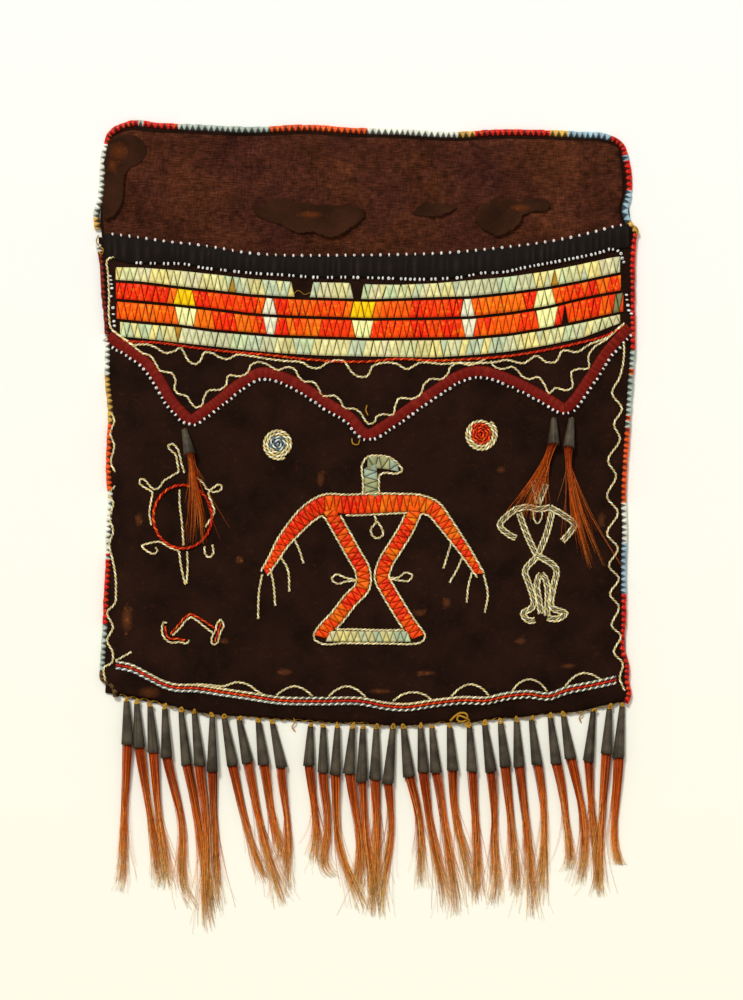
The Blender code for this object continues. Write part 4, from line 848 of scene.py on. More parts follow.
def quill_material(name):
    """Flattened quill: horny, in its own tint, which carries painted shade in the hollows of the work, with
    faint lengthwise streaks and patches, and small spots where the dye has not taken."""
    made, tree, shader = new_material(name, 0.34, specular=0.14)
    place = object_place(tree)
    streaks, patches = noise(tree, place, 1500.0, 3.0), noise(tree, place, 330.0, 4.0)
    shades = [spread(tree, value, 0.3, 0.7, 0.9, 1.18) for value in (streaks, patches)]
    base = toned(tree, attribute(tree, "tint", "Color"), value_of(tree, "MULTIPLY", *shades))
    red = put(tree, "ShaderNodeSeparateColor", {0: base}).outputs["Red"]
    green = value_of(tree, "MULTIPLY", red, 0.2)
    yellow = put(tree, "ShaderNodeCombineColor", {0: 0.0, 1: green, 2: 0.0}).outputs[0]
    bare = spread(tree, noise(tree, place, 620.0, 2.0, 0.4), 0.55, 0.7, 0.0, 0.7)
    base = blended(tree, bare, base, blended(tree, 1.0, base, yellow, "ADD"))
    finish_surface(tree, shader, base, streaks, 0.08 * MM, 0.5)
    return made


QUILL = quill_material("flattened_quill")
band_chance = np.random.default_rng(40)
band_parts = [leaves(*band_row(row, band_chance)) for row in range(4)]
new_piece("quill_band", band_parts, QUILL, "pouch", ["quillwork_band"])

# Lines of twisted quill: two plies of dyed or undyed quill wound round each other and couched down with
# thread. They edge the band, run in waves beside the ribbon and down the sides, and form the lower border.

CORD_CREAM, CORD_GOLD, CORD_WHITE = (252, 240, 200), (226, 196, 122), (244, 240, 222)
CORD_RED, CORD_ORANGE, CORD_BLUE, CORD_DARK = (178, 20, 6), (248, 84, 12), (98, 112, 116), (46, 42, 36)
CORD_PITCH, BORDER_PITCH = 4.2 * MM, 3.2 * MM  # length of one full turn of the two plies
BAND_LINE_PX = [
    (123, 341), (129, 342), (161, 344), (197, 349), (233, 353), (269, 356), (304, 360), (369, 362.5),
    (397, 360), (434, 361.7), (471, 360), (508, 357), (545, 351), (582, 343), (606, 336), (621, 328),
]
WAVE_LOW_PX = [
    (113, 331), (135, 347), (144, 354), (152, 357), (157, 364), (161, 371), (174, 375), (177, 382),
    (176, 390), (179, 394), (188, 397), (192, 403), (197, 408), (203, 406), (205, 399), (209, 392),
    (222, 390), (227, 386), (229, 377), (242, 377), (248, 374), (252, 366), (260, 363), (267, 365),
    (279, 371), (288, 368), (295, 370), (299, 377), (304, 382), (314, 383), (319, 389), (322, 396),
    (336, 397), (341, 402), (344, 408), (356, 410), (361, 414), (366, 422), (369, 424.5), (374, 423),
    (377, 417), (382, 415), (393, 415), (395, 407), (398, 400), (414, 399), (420, 395), (424, 385),
    (430, 380), (441, 380), (447, 375), (450, 368), (457, 364), (469, 366), (478, 363.5), (484, 360),
]
WAVE_LOW_RIGHT_PX = [
    (490, 362), (493, 367), (501, 370), (512, 368), (517, 372), (521, 377), (528, 380), (537, 378),
    (543, 385), (548, 394), (554, 389), (565, 391), (570, 389), (571, 372), (577, 370), (587, 369),
    (587, 357), (593, 348), (604, 341), (615, 331), (623, 325),
]
WAVE_HIGH_PX = [
    (135, 346), (151, 346), (158, 349), (167, 354), (176, 352), (182, 349), (186, 355), (190, 362),
    (197, 365), (202, 361), (205, 354), (213, 354), (220, 358), (229, 360), (237, 356), (251, 357),
    (269, 360), (286, 362), (304, 364), (310, 368), (319, 369), (329, 363), (345, 363), (349, 369),
    (354, 375), (363, 378), (367, 377), (373, 367), (382, 364), (397, 365), (406, 370), (419, 364),
    (443, 365), (456, 364), (475, 364), (495, 363), (504, 361), (523, 364), (536, 357), (545, 363),
    (554, 363), (561, 352), (576, 353), (587, 346), (606, 338), (623, 324),
]
SIDE_RIGHT_PX = [
    (623, 342), (623, 357), (619, 377), (611, 394), (621, 409), (613, 425), (619, 438), (607, 462),
    (615, 475), (606, 497), (617, 512), (606, 534), (617, 548), (608, 566), (618, 578), (609, 594),
    (618, 606), (611, 626), (620, 635), (613, 652), (622, 663), (619, 678), (624, 690),
]
SIDE_LEFT_PX = [
    [(112, 413), (115, 420), (111, 434), (115, 445), (112, 464), (116, 472)],
    [(116, 486), (110, 494), (114, 503), (110, 517), (114, 531), (110, 545), (113, 558), (116, 572),
     (117, 591), (116, 603), (108, 612), (114, 627), (108, 640), (114, 653), (113, 662), (105, 667),
     (106, 680)],
    [(117, 660), (133, 651)],
    [(116, 258), (109, 260), (109, 275), (110, 296), (110, 319), (112, 329), (119, 335), (135, 346)],
]
BORDER_PX = [
    (117, 664), (133, 667), (149, 675), (167, 684), (174, 686), (197, 687), (224, 691), (251, 695),
    (277, 699), (322, 700), (360, 700), (388, 705), (404, 706), (434, 702), (462, 699), (489, 699),
    (501, 696), (526, 693), (550, 695), (563, 690), (591, 684), (615, 679),
]
BORDER_STEP_PX = 3.1
SCALLOPS_PX = [
    [(197, 683), (212, 684), (224, 685), (238, 681), (250, 684), (258, 690), (263, 693)],
    [(277, 694), (284, 689), (295, 685), (306, 689), (313, 695)],
    [(329, 695), (336, 689), (347, 685), (358, 689), (366, 696)],
    [(393, 700), (401, 694), (412, 691), (423, 693), (431, 698)],
    [(451, 695), (458, 688), (469, 683), (481, 687), (488, 694)],
    [(511, 690), (518, 682), (528, 678), (539, 682), (546, 690)],
    [(564, 685), (571, 677), (581, 672), (592, 674), (600, 679)],
]


def frames_along(paths):
    """The sideways and upward unit directions at each point of k paths of n points."""
    along = np.gradient(paths, axis=1)
    along /= np.linalg.norm(along, axis=2)[..., None] + 1e-12
    side = np.cross(along, (0.0, 0.0, 1.0))
    side /= np.linalg.norm(side, axis=2)[..., None] + 1e-12
    return side, np.cross(side, along)


def tubes(paths, radius, sides=7):
    """Round cords along k paths of n points: each ring is its point plus the radius times the cosine and
    the sine round the path's sideways and upward directions."""
    paths = np.asarray(paths, float)
    k, n = paths.shape[:2]
    side, rise = frames_along(paths)
    turn = np.arange(sides) * math.tau / sides
    reach = np.broadcast_to(radius, (k, n))[..., None] * np.ones(sides)
    rings = (paths[:, :, None] + side[:, :, None] * (np.cos(turn) * reach)[..., None]
             + rise[:, :, None] * (np.sin(turn) * reach)[..., None])
    points = np.concatenate((rings.reshape(k, -1, 3), paths[:, :1], paths[:, -1:]), axis=1)
    faces = grid_triangles(n, sides, closed=True)
    first, ahead = np.arange(sides), (np.arange(sides) + 1) % sides
    last = (n - 1) * sides
    start = np.column_stack((ahead, first, np.full(sides, n * sides)))
    end = np.column_stack((first + last, ahead + last, np.full(sides, n * sides + 1)))
    one = np.concatenate((faces[:, ::-1], start[:, ::-1], end[:, ::-1]))
    all_faces = one + (np.arange(k) * (n * sides + 2))[:, None, None]
    return points.reshape(-1, 3), all_faces.reshape(-1, 3)


def ring_tints(tints, sides=7):
    """The tints of k paths of n points, for each ring's corners and the two ends."""
    k, n = tints.shape[:2]
    rings = np.repeat(tints, sides, axis=1)
    return np.concatenate((rings, tints[:, :1], tints[:, -1:]), axis=1).reshape(-1, 3)


def laid(points_px, lift, step=0.45 * MM, closed=False):
    """A path on the front panel's face through pixels of the photograph."""
    flat = smooth(from_photo(points_px), step, closed)
    return np.column_stack((flat, face_height(flat[:, 0], flat[:, 1]) + lift))


cord_chance = np.random.default_rng(50)


def twisted(path, radius, shades, second=None, pitch=CORD_PITCH):
    """One twisted line: two round plies, each turning about the path at half the line's radius once in a
    pitch. Shades are colours at even places along it, second those of its other ply, and a ply's tint is
    darkened where it dives under, as painted shade."""
    side, rise = frames_along(path[None])
    run = np.concatenate(([0], np.cumsum(np.linalg.norm(np.diff(path, axis=0), axis=1))))
    turn = (run * math.tau / pitch + cord_chance.uniform(0, 6))[:, None] + (0, math.pi)
    swing = radius * 0.5 * cord_chance.uniform(0.85, 1.1)
    strands = [path + (side[0] * np.cos(turn[:, k:k + 1]) + rise[0] * np.sin(turn[:, k:k + 1])) * swing
               for k in (0, 1)]
    tints = []
    for k, ply in enumerate((shades, second or shades)):
        ply = np.array([colour(shade) for shade in ply])
        at = np.linspace(0, len(ply) - 1, len(path))
        base = np.column_stack([np.interp(at, np.arange(len(ply)), ply[:, c]) for c in range(3)])
        speckle = cord_chance.normal(0, 0.16, len(path) // 5 + 2)
        uneven = 1 + np.interp(np.arange(len(path)), np.arange(len(speckle)) * 5, speckle)
        # Painted shade: each ply's tint is darker where it turns under the other.
        tints.append(base * (np.clip(uneven, 0.5, 1.3) * (0.62 + 0.38 * np.sin(turn[:, k])))[:, None])
    points, faces = tubes(strands, radius * 0.56, sides=5)
    return points, faces, ring_tints(np.array(tints), sides=5)


CORD = 0.62 * MM
CREAM, GOLD = [CORD_CREAM], [CORD_GOLD]
CORD_LIFT = 0.5 * MM
RED_SHADES = [QUILL_RED, CORD_ORANGE, QUILL_RED]


def pale_lines(lines_px, lift=CORD_LIFT):
    """Twisted lines in cream and gold through pixels of the photograph."""
    return [twisted(laid(points_px, lift), CORD, CREAM, GOLD) for points_px in lines_px]


band_edge = twisted(laid(BAND_LINE_PX, CORD_LIFT), 0.7 * MM, RED_SHADES, [CORD_RED])
new_piece("band_edge_cord", [band_edge], QUILL, "pouch", ["band_line"])
wave_lines = pale_lines((WAVE_LOW_PX, WAVE_LOW_RIGHT_PX, WAVE_HIGH_PX))
new_piece("ribbon_waves", wave_lines, QUILL, "pouch", ())
right_line = pale_lines([SIDE_RIGHT_PX])
new_piece("side_wave_cord_right", right_line, QUILL, "pouch", ["side_wave_right"])
new_piece("side_wave_cord_left", pale_lines(SIDE_LEFT_PX), QUILL, "pouch", ["side_wave_left"])
CORD_GREY = (150, 156, 142)
BORDER_SHADES = [([CORD_CREAM], [CORD_GREY, CORD_GOLD, CORD_BLUE, CORD_GOLD, CORD_GREY, CORD_BLUE]),
                 (RED_SHADES[:2] + RED_SHADES, [CORD_RED]),
                 ([CORD_WHITE, CORD_CREAM], [CORD_BLUE, CORD_GREY, CORD_BLUE, CORD_DARK, CORD_BLUE])]
border_parts = []
for row, shades in enumerate(BORDER_SHADES):
    row_px = [(x, y + BORDER_STEP_PX * (row - 1)) for x, y in BORDER_PX]
    border_parts.append(twisted(laid(row_px, CORD_LIFT), 0.7 * MM, *shades, pitch=BORDER_PITCH))
border_parts += pale_lines(SCALLOPS_PX)
new_piece("lower_border_cords", border_parts, QUILL, "pouch", ["border_lines"])

# Two rosettes, each one twisted line coiled flat from its middle outwards: gold round a blue-grey eye on
# the left, and gold round an orange-red eye on the right.

ROSETTES_PX = {"rosette_left": ((279, 444.6), 16.5, ((222, 226, 214), (98, 114, 122)), 0.54),
               "rosette_right": ((480, 435), 17.5, ((244, 74, 14), (196, 34, 10)), 0.66)}
COIL_PITCH = 1.55 * MM


def coil(middle_px, radius_px, eye, eye_share):
    """Two twisted lines that spiral from the middle, one in the eye's colours and one on from it in cream
    and gold. The radius grows by one pitch a turn."""
    (cx, cy), = from_photo([middle_px])
    radius = radius_px * PIXEL
    made = []
    for start, end, shades in ((0.02, eye_share, eye), (eye_share, 1, (CORD_CREAM, CORD_GOLD))):
        count = max(int(np.pi * radius**2 * (end**2 - start**2) / COIL_PITCH / (0.4 * MM)), 8)
        reach = np.linspace(start**2, end**2, count) ** 0.5 * (radius - COIL_PITCH / 2)
        angle = reach / COIL_PITCH * math.tau
        x, y = cx + reach * np.cos(angle), cy + reach * np.sin(angle)
        dome = 0.3 * MM * (1 - (reach / radius) ** 2)
        path = np.column_stack((x, y, face_height(x, y) + CORD_LIFT + dome))
        made.append(twisted(path, 0.8 * MM, [shades[0]], [shades[1]]))
    return made


for node_name, (middle_px, radius_px, eye, eye_share) in ROSETTES_PX.items():
    turns = coil(middle_px, radius_px, eye, eye_share)
    new_piece(node_name + "_coil", turns, QUILL, "pouch", [node_name])

# The bird: wings, body and tail bar in rows of folded quill, edged with twisted lines, with a pale head,
# and with talons and loops of twisted line.

WING_PX = [
    (265, 573), (275, 557), (283, 543), (295, 528), (311, 512), (326, 504), (345, 505), (375, 504),
    (400, 503.5), (419, 504), (433, 509), (443, 521), (454, 536), (464, 550), (473, 564), (480, 575),
]
WING_WIDTH_PX = [6, 8, 11, 14, 16, 17, 18.5, 19, 18.5, 17, 16, 14, 12, 10, 8, 6]
FLANKS_PX = [
    [(328.5, 508.5), (344, 536), (354, 554), (363, 571), (363, 585), (350, 600), (337, 617), (324, 631),
     (320, 637.5)],
    [(416, 506.5), (406, 529), (395, 547), (385, 564), (382, 578), (387, 588), (397, 605), (407, 621),
     (419, 637.5)],
]
FLANK_WIDTH_PX = 12.5
BASE_PX = [(326, 635.3), (345, 635.3), (370, 635.6), (392, 635.6), (411, 635.6)]
BASE_WIDTH_PX = 11
BASE_LINES_PX = [
    [(337, 628.6), (354, 628.4), (370, 629), (388, 629.2), (404, 629)],
    [(314.1, 633.3), (315.5, 639), (320, 641.8), (345, 642), (370, 642.4), (392, 642.6), (413, 642.8),
     (420, 641.5), (424.2, 637.5), (424.7, 633.1)],
]
HEAD_PX = [
    (363, 495), (363, 480), (362, 472), (362, 466), (368, 457), (378, 456), (390, 458), (398, 464),
    (402, 471), (395, 474), (386, 473), (380, 475), (379, 484), (379, 495),
]
TALONS_PX = [
    [(263, 574), (260, 590), (259, 618)], [(271, 568), (274, 582), (276, 605)],
    [(281, 556), (288, 568), (290, 591)], [(295, 539), (300, 550), (304, 563)],
    [(451, 542), (447, 555), (443, 568)], [(462, 556), (457, 568), (449, 582)],
    [(472, 570), (468, 584), (466, 602)], [(483, 574), (487, 594), (484, 612)],
]
LOOPS_PX = [
    [(375, 516), (376, 522), (371, 529), (373, 536), (378, 538), (383, 534), (381, 527), (377, 521)],
    [(356, 579.5), (345, 577), (337, 574), (332, 578), (337, 583), (346, 581), (356, 580)],
    [(388, 577), (398, 577), (406, 572), (412, 575), (409, 580), (400, 580), (388, 578)]]


def widths_along(path, widths_px):
    """A strip's widths, spread evenly over the points of its path."""
    return np.interp(np.linspace(0, 1, len(path)), np.linspace(0, 1, len(widths_px)), widths_px)


def strip_leaves(path_px, widths_px, palette, chance, fold_px=7.0):
    """A row of folded quill along a path: corners take turns on its two sides, half a fold apart."""
    path = smooth(np.asarray(path_px, float), fold_px / 2)
    turns = np.where(np.arange(len(path)) % 2, 1, -1)
    edge = side_step(path, (turns * widths_along(path, widths_px))[:, None] / 2)
    corners = np.stack((edge[:-2], edge[2:], edge[1:-1]), axis=1)
    tints = in_runs(len(corners), palette, chance, 3) * 0.84
    return leaves(from_photo(corners.reshape(-1, 2)).reshape(-1, 3, 2), tints)


def edged(path_px, widths_px):
    """The two side lines of a strip, in pixels."""
    path = smooth(np.asarray(path_px, float), 6)
    half_widths = (widths_along(path, widths_px) + 2)[:, None] / 2
    return [side_step(path, half_widths), side_step(path, -half_widths)]


bird_chance = np.random.default_rng(60)
bird_parts = [strip_leaves(WING_PX, WING_WIDTH_PX, QUILL_FIRE, bird_chance)]
bird_parts += [strip_leaves(path_px, [FLANK_WIDTH_PX] * 2, QUILL_FIRE, bird_chance) for path_px in FLANKS_PX]
wing_top, wing_under = edged(WING_PX, WING_WIDTH_PX)
flank_sides = [edged(path_px, [FLANK_WIDTH_PX] * 2) for path_px in FLANKS_PX]
(left_inner, left_outer), (right_outer, right_inner) = flank_sides
under_x = wing_under[:, 0]
bird_lines = [
    wing_top, wing_under[(under_x > 341) & (under_x < 408)], left_inner[2:-3], right_inner[2:-3],
    np.concatenate((wing_under[under_x < 322], left_outer[2:])),
    np.concatenate((wing_under[under_x > 421][::-1], right_outer[2:]))]
bird_parts += pale_lines(bird_lines + TALONS_PX + LOOPS_PX, CORD_LIFT + 0.1 * MM)
new_piece("bird_quills", bird_parts, QUILL, "pouch", ["bird_wings_and_body"])
base_parts = [strip_leaves(BASE_PX, [BASE_WIDTH_PX] * 2, QUILL_PALE, bird_chance)]
base_parts += pale_lines(BASE_LINES_PX, CORD_LIFT + 0.1 * MM)
new_piece("bird_tail_bar", base_parts, QUILL, "pouch", ["bird_base"])
HEAD_SHADES = [(180, 176, 124), (154, 156, 112), (164, 178, 152), (200, 192, 142)]
NECK_STRIP_PX = [(371, 498), (371, 480), (370, 464)], [14, 14, 13]
BEAK_STRIP_PX = [(365, 465), (376, 462), (388, 464), (400, 470)], [13, 14, 12, 5]
head_strips = NECK_STRIP_PX, BEAK_STRIP_PX
head_parts = [strip_leaves(*strip_px, HEAD_SHADES, bird_chance, 9) for strip_px in head_strips]
head_parts += pale_lines([HEAD_PX])
new_piece("bird_head_quills", head_parts, QUILL, "pouch", ["bird_head"])

# The ring figure on the left: an orange ring crossed by a spine, with pale head, legs and a long tail, as a
# turtle seen from above.

RING_MIDDLE_PX, RING_RADII_PX = (184, 516.7), (29, 31.5)
RING_LINES_PX = [
    [(181, 490), (181, 503), (183, 520), (185, 545)],
    [(180.3, 472), (178.6, 462), (177, 455), (171.5, 450), (169.5, 446.5), (173.5, 444.4), (178.6, 448.6),
     (181, 455), (183, 464), (186, 473)],
    [(180.3, 472), (172, 477), (165, 481.5), (161, 487.5), (156.5, 489.5), (150, 484.5), (146, 480),
     (142.3, 479.4), (141, 482.5), (146, 487.5), (153.5, 492), (152.5, 502), (151, 513), (153, 525)],
    [(197, 477.5), (204, 483), (209, 490), (214.5, 492), (221, 490.5), (223, 487), (220.5, 484.8),
     (215, 487.5), (210, 492), (213, 503), (215.5, 512), (211, 520), (206.5, 527)],
    [(157, 547), (159, 550.5), (155.5, 553.5), (149, 551), (143.5, 546), (152, 542.7), (162, 541.8),
     (170, 546.5), (180, 550.5)],
    [(205.7, 546), (206.7, 554), (210.5, 557), (214.3, 553), (213.5, 544.5)],
    [(180.5, 551), (182.5, 566), (186.6, 584)], [(188.4, 551), (189, 566), (187.8, 583)],
]
ring_turn = np.linspace(0, math.tau, 19)[:-1]
ring_px = np.column_stack((RING_MIDDLE_PX[0] + RING_RADII_PX[0] * np.cos(ring_turn),
                           RING_MIDDLE_PX[1] + RING_RADII_PX[1] * np.sin(ring_turn)))
ring_path = laid(ring_px, CORD_LIFT + 0.2 * MM, closed=True)
ring_parts = [twisted(ring_path, 0.78 * MM, RED_SHADES, [CORD_RED])] + pale_lines(RING_LINES_PX)
new_piece("turtle_cords", ring_parts, QUILL, "pouch", ["ring_figure"])

# The small bow below it: a bent orange line with a pale edging and a hook at its left.

RED_PLIES, CREAM_PLIES = ([CORD_ORANGE], [CORD_RED]), (CREAM, GOLD)
BOW_LINES_PX = [
    ([(172, 633), (180, 624), (187, 616), (192.2, 613.5), (199, 616.5), (208, 622), (217, 628)], RED_PLIES),
    ([(174, 634.5), (182, 626.5), (188, 619), (192.2, 616.6), (198, 619.5), (206, 626), (214, 632)],
     CREAM_PLIES),
    ([(168.5, 622), (165.5, 621.5), (163.6, 627), (166, 637), (172, 641.5), (181, 641), (188.8, 642),
     (190.5, 639)], CREAM_PLIES),
    ([(167, 625), (167.4, 631.5), (170.5, 637.3), (178, 637.8), (186.5, 639)], RED_PLIES),
    ([(221.8, 622), (219.3, 631.4), (215.8, 641)], RED_PLIES),
    ([(221.6, 618.6), (219, 621.5), (216.4, 630), (212.8, 638), (213.8, 643.3), (217, 643), (221, 633),
     (224.6, 623), (221.6, 618.6)], CREAM_PLIES),
]
bow_parts = [twisted(laid(line, CORD_LIFT + 0.1 * MM), 0.6 * MM, *plies) for line, plies in BOW_LINES_PX]
new_piece("bow_cords", bow_parts, QUILL, "pouch", ["bow_figure"])

# The standing figure on the right: three twisted lines side by side for its limbs, the middle one blue-
# grey, with an open neck. It has no face.

FIGURE_LINES_PX = [
    [(532, 481), (535, 492), (537, 504)], [(545, 484), (541, 494), (537, 504)],
    [(515, 509), (526, 507), (537, 509), (549, 507.5)],
    [(515, 509), (506, 516), (499, 525), (506, 533), (515, 538)],
    [(549, 507.5), (562, 515), (573, 525), (568, 533), (561, 541)], [(518, 513), (526, 535), (536, 556)],
    [(551, 512), (545, 535), (537, 554)],
    [(536, 556), (524, 572), (527, 581), (531, 607), (522, 613), (529, 620), (534, 619)],
    [(537, 555), (555, 569), (552, 587), (551, 607), (564, 613), (556, 618), (546, 617)],
    [(540, 573.5), (537, 578), (536, 582), (538, 600), (540, 613)],
    [(540, 573.5), (544, 578), (545, 581), (546, 615)],
]
GREY_PLIES = ([(206, 196, 150)], [(118, 112, 84)])
NECK_PX = [(532, 511), (533, 519), (536, 523.5), (540, 519), (541, 511)]
LIMB_STEP_PX = 2.3  # from a limb's middle line to those beside it
figure_parts = [twisted(laid(NECK_PX, CORD_LIFT), 0.5 * MM, *CREAM_PLIES)]
for line in FIGURE_LINES_PX:
    for shift, plies in ((-LIMB_STEP_PX, CREAM_PLIES), (0, GREY_PLIES), (LIMB_STEP_PX, CREAM_PLIES)):
        shifted = side_step(smooth(np.asarray(line, float), 4), shift)
        figure_parts.append(twisted(laid(shifted, CORD_LIFT - 0.1 * MM * (shift == 0)), 0.58 * MM, *plies))
new_piece("standing_figure_cords", figure_parts, QUILL, "pouch", ["standing_figure"])

# The edge bindings: quills folded to and fro over the raw edges of both hides, in short runs of one colour
# after another. Each fold shows as a bright tooth beside a dark one, whose darkness is painted shade.

FOLD_PITCH = 2.9 * MM
WRAP_WHITE, WRAP_GREY = (228, 226, 208), (176, 186, 172)
WRAP_BLUE, WRAP_BARE = (150, 178, 190), (96, 66, 32)
WRAP_RED, WRAP_DARK, WRAP_ORANGE, WRAP_OCHRE = (206, 26, 12), (120, 26, 18), (232, 80, 22), (206, 158, 74)
LEFT_RUNS_PX = [
    (133, WRAP_RED), (218, WRAP_WHITE), (233, WRAP_OCHRE), (252, WRAP_WHITE), (335, WRAP_DARK),
    (375, WRAP_WHITE), (424, WRAP_OCHRE), (491, WRAP_ORANGE), (556, WRAP_WHITE), (624, WRAP_RED),
    (670, WRAP_GREY), (720, WRAP_BARE),
]
RIGHT_RUNS_PX = [(191, WRAP_RED), (222, WRAP_BLUE), (232, WRAP_OCHRE), (325, WRAP_RED), (350, WRAP_RED),
                 (428, WRAP_GREY), (503, WRAP_ORANGE), (543, WRAP_WHITE), (594, WRAP_BLUE), (720, WRAP_RED)]
TOP_RUNS_PX = [(178, WRAP_RED), (270, WRAP_GREY), (367, WRAP_ORANGE), (458, WRAP_WHITE), (475, WRAP_OCHRE),
               (550, WRAP_RED), (568, WRAP_OCHRE), (610, WRAP_BLUE), (700, WRAP_RED)]
SPLIT_LEFT_PX, SPLIT_RIGHT_PX = 236, 228  # where the front panel's side seams end, at the mouth


def wraps(path_px, runs_px, along_axis, seed):
    """A wrapped edge: a flattened tube inside the outline, tall where it holds two hides and low where it
    holds one. A tooth's width shrinks evenly from the outer side to the inner one, and the teeth stand out
    from the rest."""
    chance = np.random.default_rng(seed)
    sides = 12
    step = 0.32 * MM
    path = side_step(smooth(from_photo(path_px), step), BINDING_WIDTH * 0.5)
    run = np.arange(len(path)) * step / FOLD_PITCH + 0.12 * np.sin(np.arange(len(path)) * 0.09)
    fold = np.floor(run).astype(int)
    angle = np.arange(sides) * math.tau / sides
    zig = np.abs(2 * (run - fold) - 1)[:, None]
    tooth = np.clip((zig - (0.5 + 0.5 * np.cos(angle))) * 4 + 0.5, 0, 1)
    two_hides = np.clip((mouth(path[:, 0]) - path[:, 1]) / (3 * MM) + 0.5, 0, 1)
    two_hides[path[:, 1] > mouth(path[:, 0]) + 2 * MM] = 0
    half_height = (0.95 + 0.75 * two_hides) * MM
    uneven = chance.uniform(0.9, 1.08, fold[-1] + 2)[fold][:, None]
    half_width = BINDING_WIDTH / 2 * uneven * (0.86 + 0.14 * tooth)
    side, _ = frames_along(np.column_stack((path, 0 * run))[None])
    across_edge = side[0][:, None] * (np.cos(angle) * half_width)[..., None]
    up_edge = (np.sin(angle) * half_height[:, None] * (0.9 + 0.2 * tooth))[..., None] * (0, 0, 1)
    rings = np.column_stack((path, half_height + 0.12 * MM))[:, None] + across_edge + up_edge
    pixels = path / PIXEL * (1, -1) + CENTRE_PX
    pick = np.clip(np.searchsorted([end for end, _ in runs_px], pixels[:, along_axis]), 0, len(runs_px) - 1)
    runs = np.array([colour(shade) for _, shade in runs_px])
    stray = chance.random(fold[-1] + 2)[fold] < 0.03
    shades = runs[np.where(stray, np.clip(pick + 1, 0, len(runs) - 1), pick)]
    shades = shades * chance.uniform(0.7, 1.15, fold[-1] + 2)[fold][:, None]
    # Painted shade: the fold's colour is darkened to a tenth between the teeth.
    tints = shades[:, None] * (0.1 + 0.95 * tooth)[..., None]
    ends = np.concatenate((rings[:1].mean(axis=1), rings[-1:].mean(axis=1)))
    _, faces = tubes(np.column_stack((path, 0 * run))[None], MM, sides=sides)
    return (np.concatenate((rings.reshape(-1, 3), ends)), faces,
            np.concatenate((tints.reshape(-1, 3), shades[:1], shades[-1:])))


lower_left = [point for point in LEFT_EDGE_PX if point[1] > SPLIT_LEFT_PX]
upper_left = [point for point in LEFT_EDGE_PX if point[1] <= SPLIT_LEFT_PX + 4]
lower_right = [point for point in RIGHT_EDGE_PX if point[1] > SPLIT_RIGHT_PX]
upper_right = [point for point in RIGHT_EDGE_PX if point[1] <= SPLIT_RIGHT_PX + 4]
new_piece("edge_wraps_left", [wraps(lower_left, LEFT_RUNS_PX, 1, 71)], QUILL, "pouch", ["edge_binding_left"])
top_parts = [wraps(upper_left, LEFT_RUNS_PX, 1, 72), wraps(TOP_EDGE_PX, TOP_RUNS_PX, 0, 73),
             wraps(upper_right[::-1], RIGHT_RUNS_PX, 1, 74)]
new_piece("edge_wraps_top", top_parts, QUILL, "pouch", ["edge_binding_top"])
new_piece("edge_wraps_right", [wraps(lower_right[::-1], RIGHT_RUNS_PX, 1, 75)], QUILL, "pouch",
          ["edge_binding_right"])

# The hem thong: a smoked deerskin lace whipped along the hem, from which each cone's own lace hangs. Its
# loops show ochre against the black hide, and two of them have lost their cones.

THONG_OCHRE = (200, 146, 36)
THONG_DARK = (92, 58, 18)
STITCH_PITCH = 5.5 * MM
BROKEN_LACES_PX = [
    [(293, 716), (295, 722), (292, 727), (295, 731)], [(580, 708), (582, 713), (579, 718), (581, 722)],
    [(336, 723), (341, 719), (347, 718), (352, 721)],
]
TANGLE_PX = [
    (450, 720), (455, 715), (460, 712), (466, 713), (467, 718), (462, 721), (457, 719), (458, 715),
    (463, 716), (469, 720), (465, 724), (470, 727),
]
THREAD_PX = [(292, 298), (299, 292), (305, 296), (312, 294), (316, 297)]
KNOT_PX = [(632, 226), (636, 229), (637, 233), (633, 235), (630, 231), (634, 228)]
EDGE_LACE_PX = [(99, 236), (97, 242), (100, 247), (104, 250), (102, 255), (99, 252)]
LACES_PX = [[(367, 406), (366, 411), (368, 416)], [(352, 439), (353, 444), (358, 445), (360, 440)]]


def thong_material(name):
    """Smoked deerskin lace: ochre, soft and matt, darker where it has been handled."""
    made, tree, shader = new_material(name, 0.7, specular=0.15)
    fineness = {"Mottle": 300.0, "Pores": 2200.0, "Cracks": 1400.0}
    grain = put(tree, "ShaderNodeGroup", fineness, node_tree=GRAIN).outputs
    handled = value_of(tree, "MULTIPLY", grain["Tone"], 0.5)
    base = blended(tree, handled, attribute(tree, "tint", "Color"), colour(THONG_DARK))
    finish_surface(tree, shader, base, grain["Height"], 0.12 * MM, 0.7)
    return made


THONG = thong_material("smoked_lace")
hem_x = np.arange(left_edge(-0.138) + 2 * MM, right_edge(-0.14) - 2 * MM, 0.6 * MM)
stitch = (hem_x - hem_x[0]) * math.tau / STITCH_PITCH
hem_wave = 0.5 * MM * np.sin(stitch) + 0.4 * MM * waves(hem_x, 0 * hem_x, 30 * MM, 6)
hem_path = np.column_stack((hem_x, hem(hem_x) - 0.4 * MM + hem_wave, 1.6 * MM + 0.4 * MM * np.cos(stitch)))
thong_tint = colour(THONG_OCHRE) * (0.75 + 0.35 * waves(hem_x, 0 * hem_x, 12 * MM, 15)[:, None])
hem_points, hem_faces = tubes(hem_path[None], 0.3 * MM, sides=6)
thong_parts = [(hem_points, hem_faces, ring_tints(thong_tint[None], sides=6))]


def lace(path, radius=0.32 * MM):
    """A short lace in ochre."""
    points, faces = tubes(path[None], radius, sides=6)
    return points, faces, np.broadcast_to(colour(THONG_OCHRE), (len(points), 3))


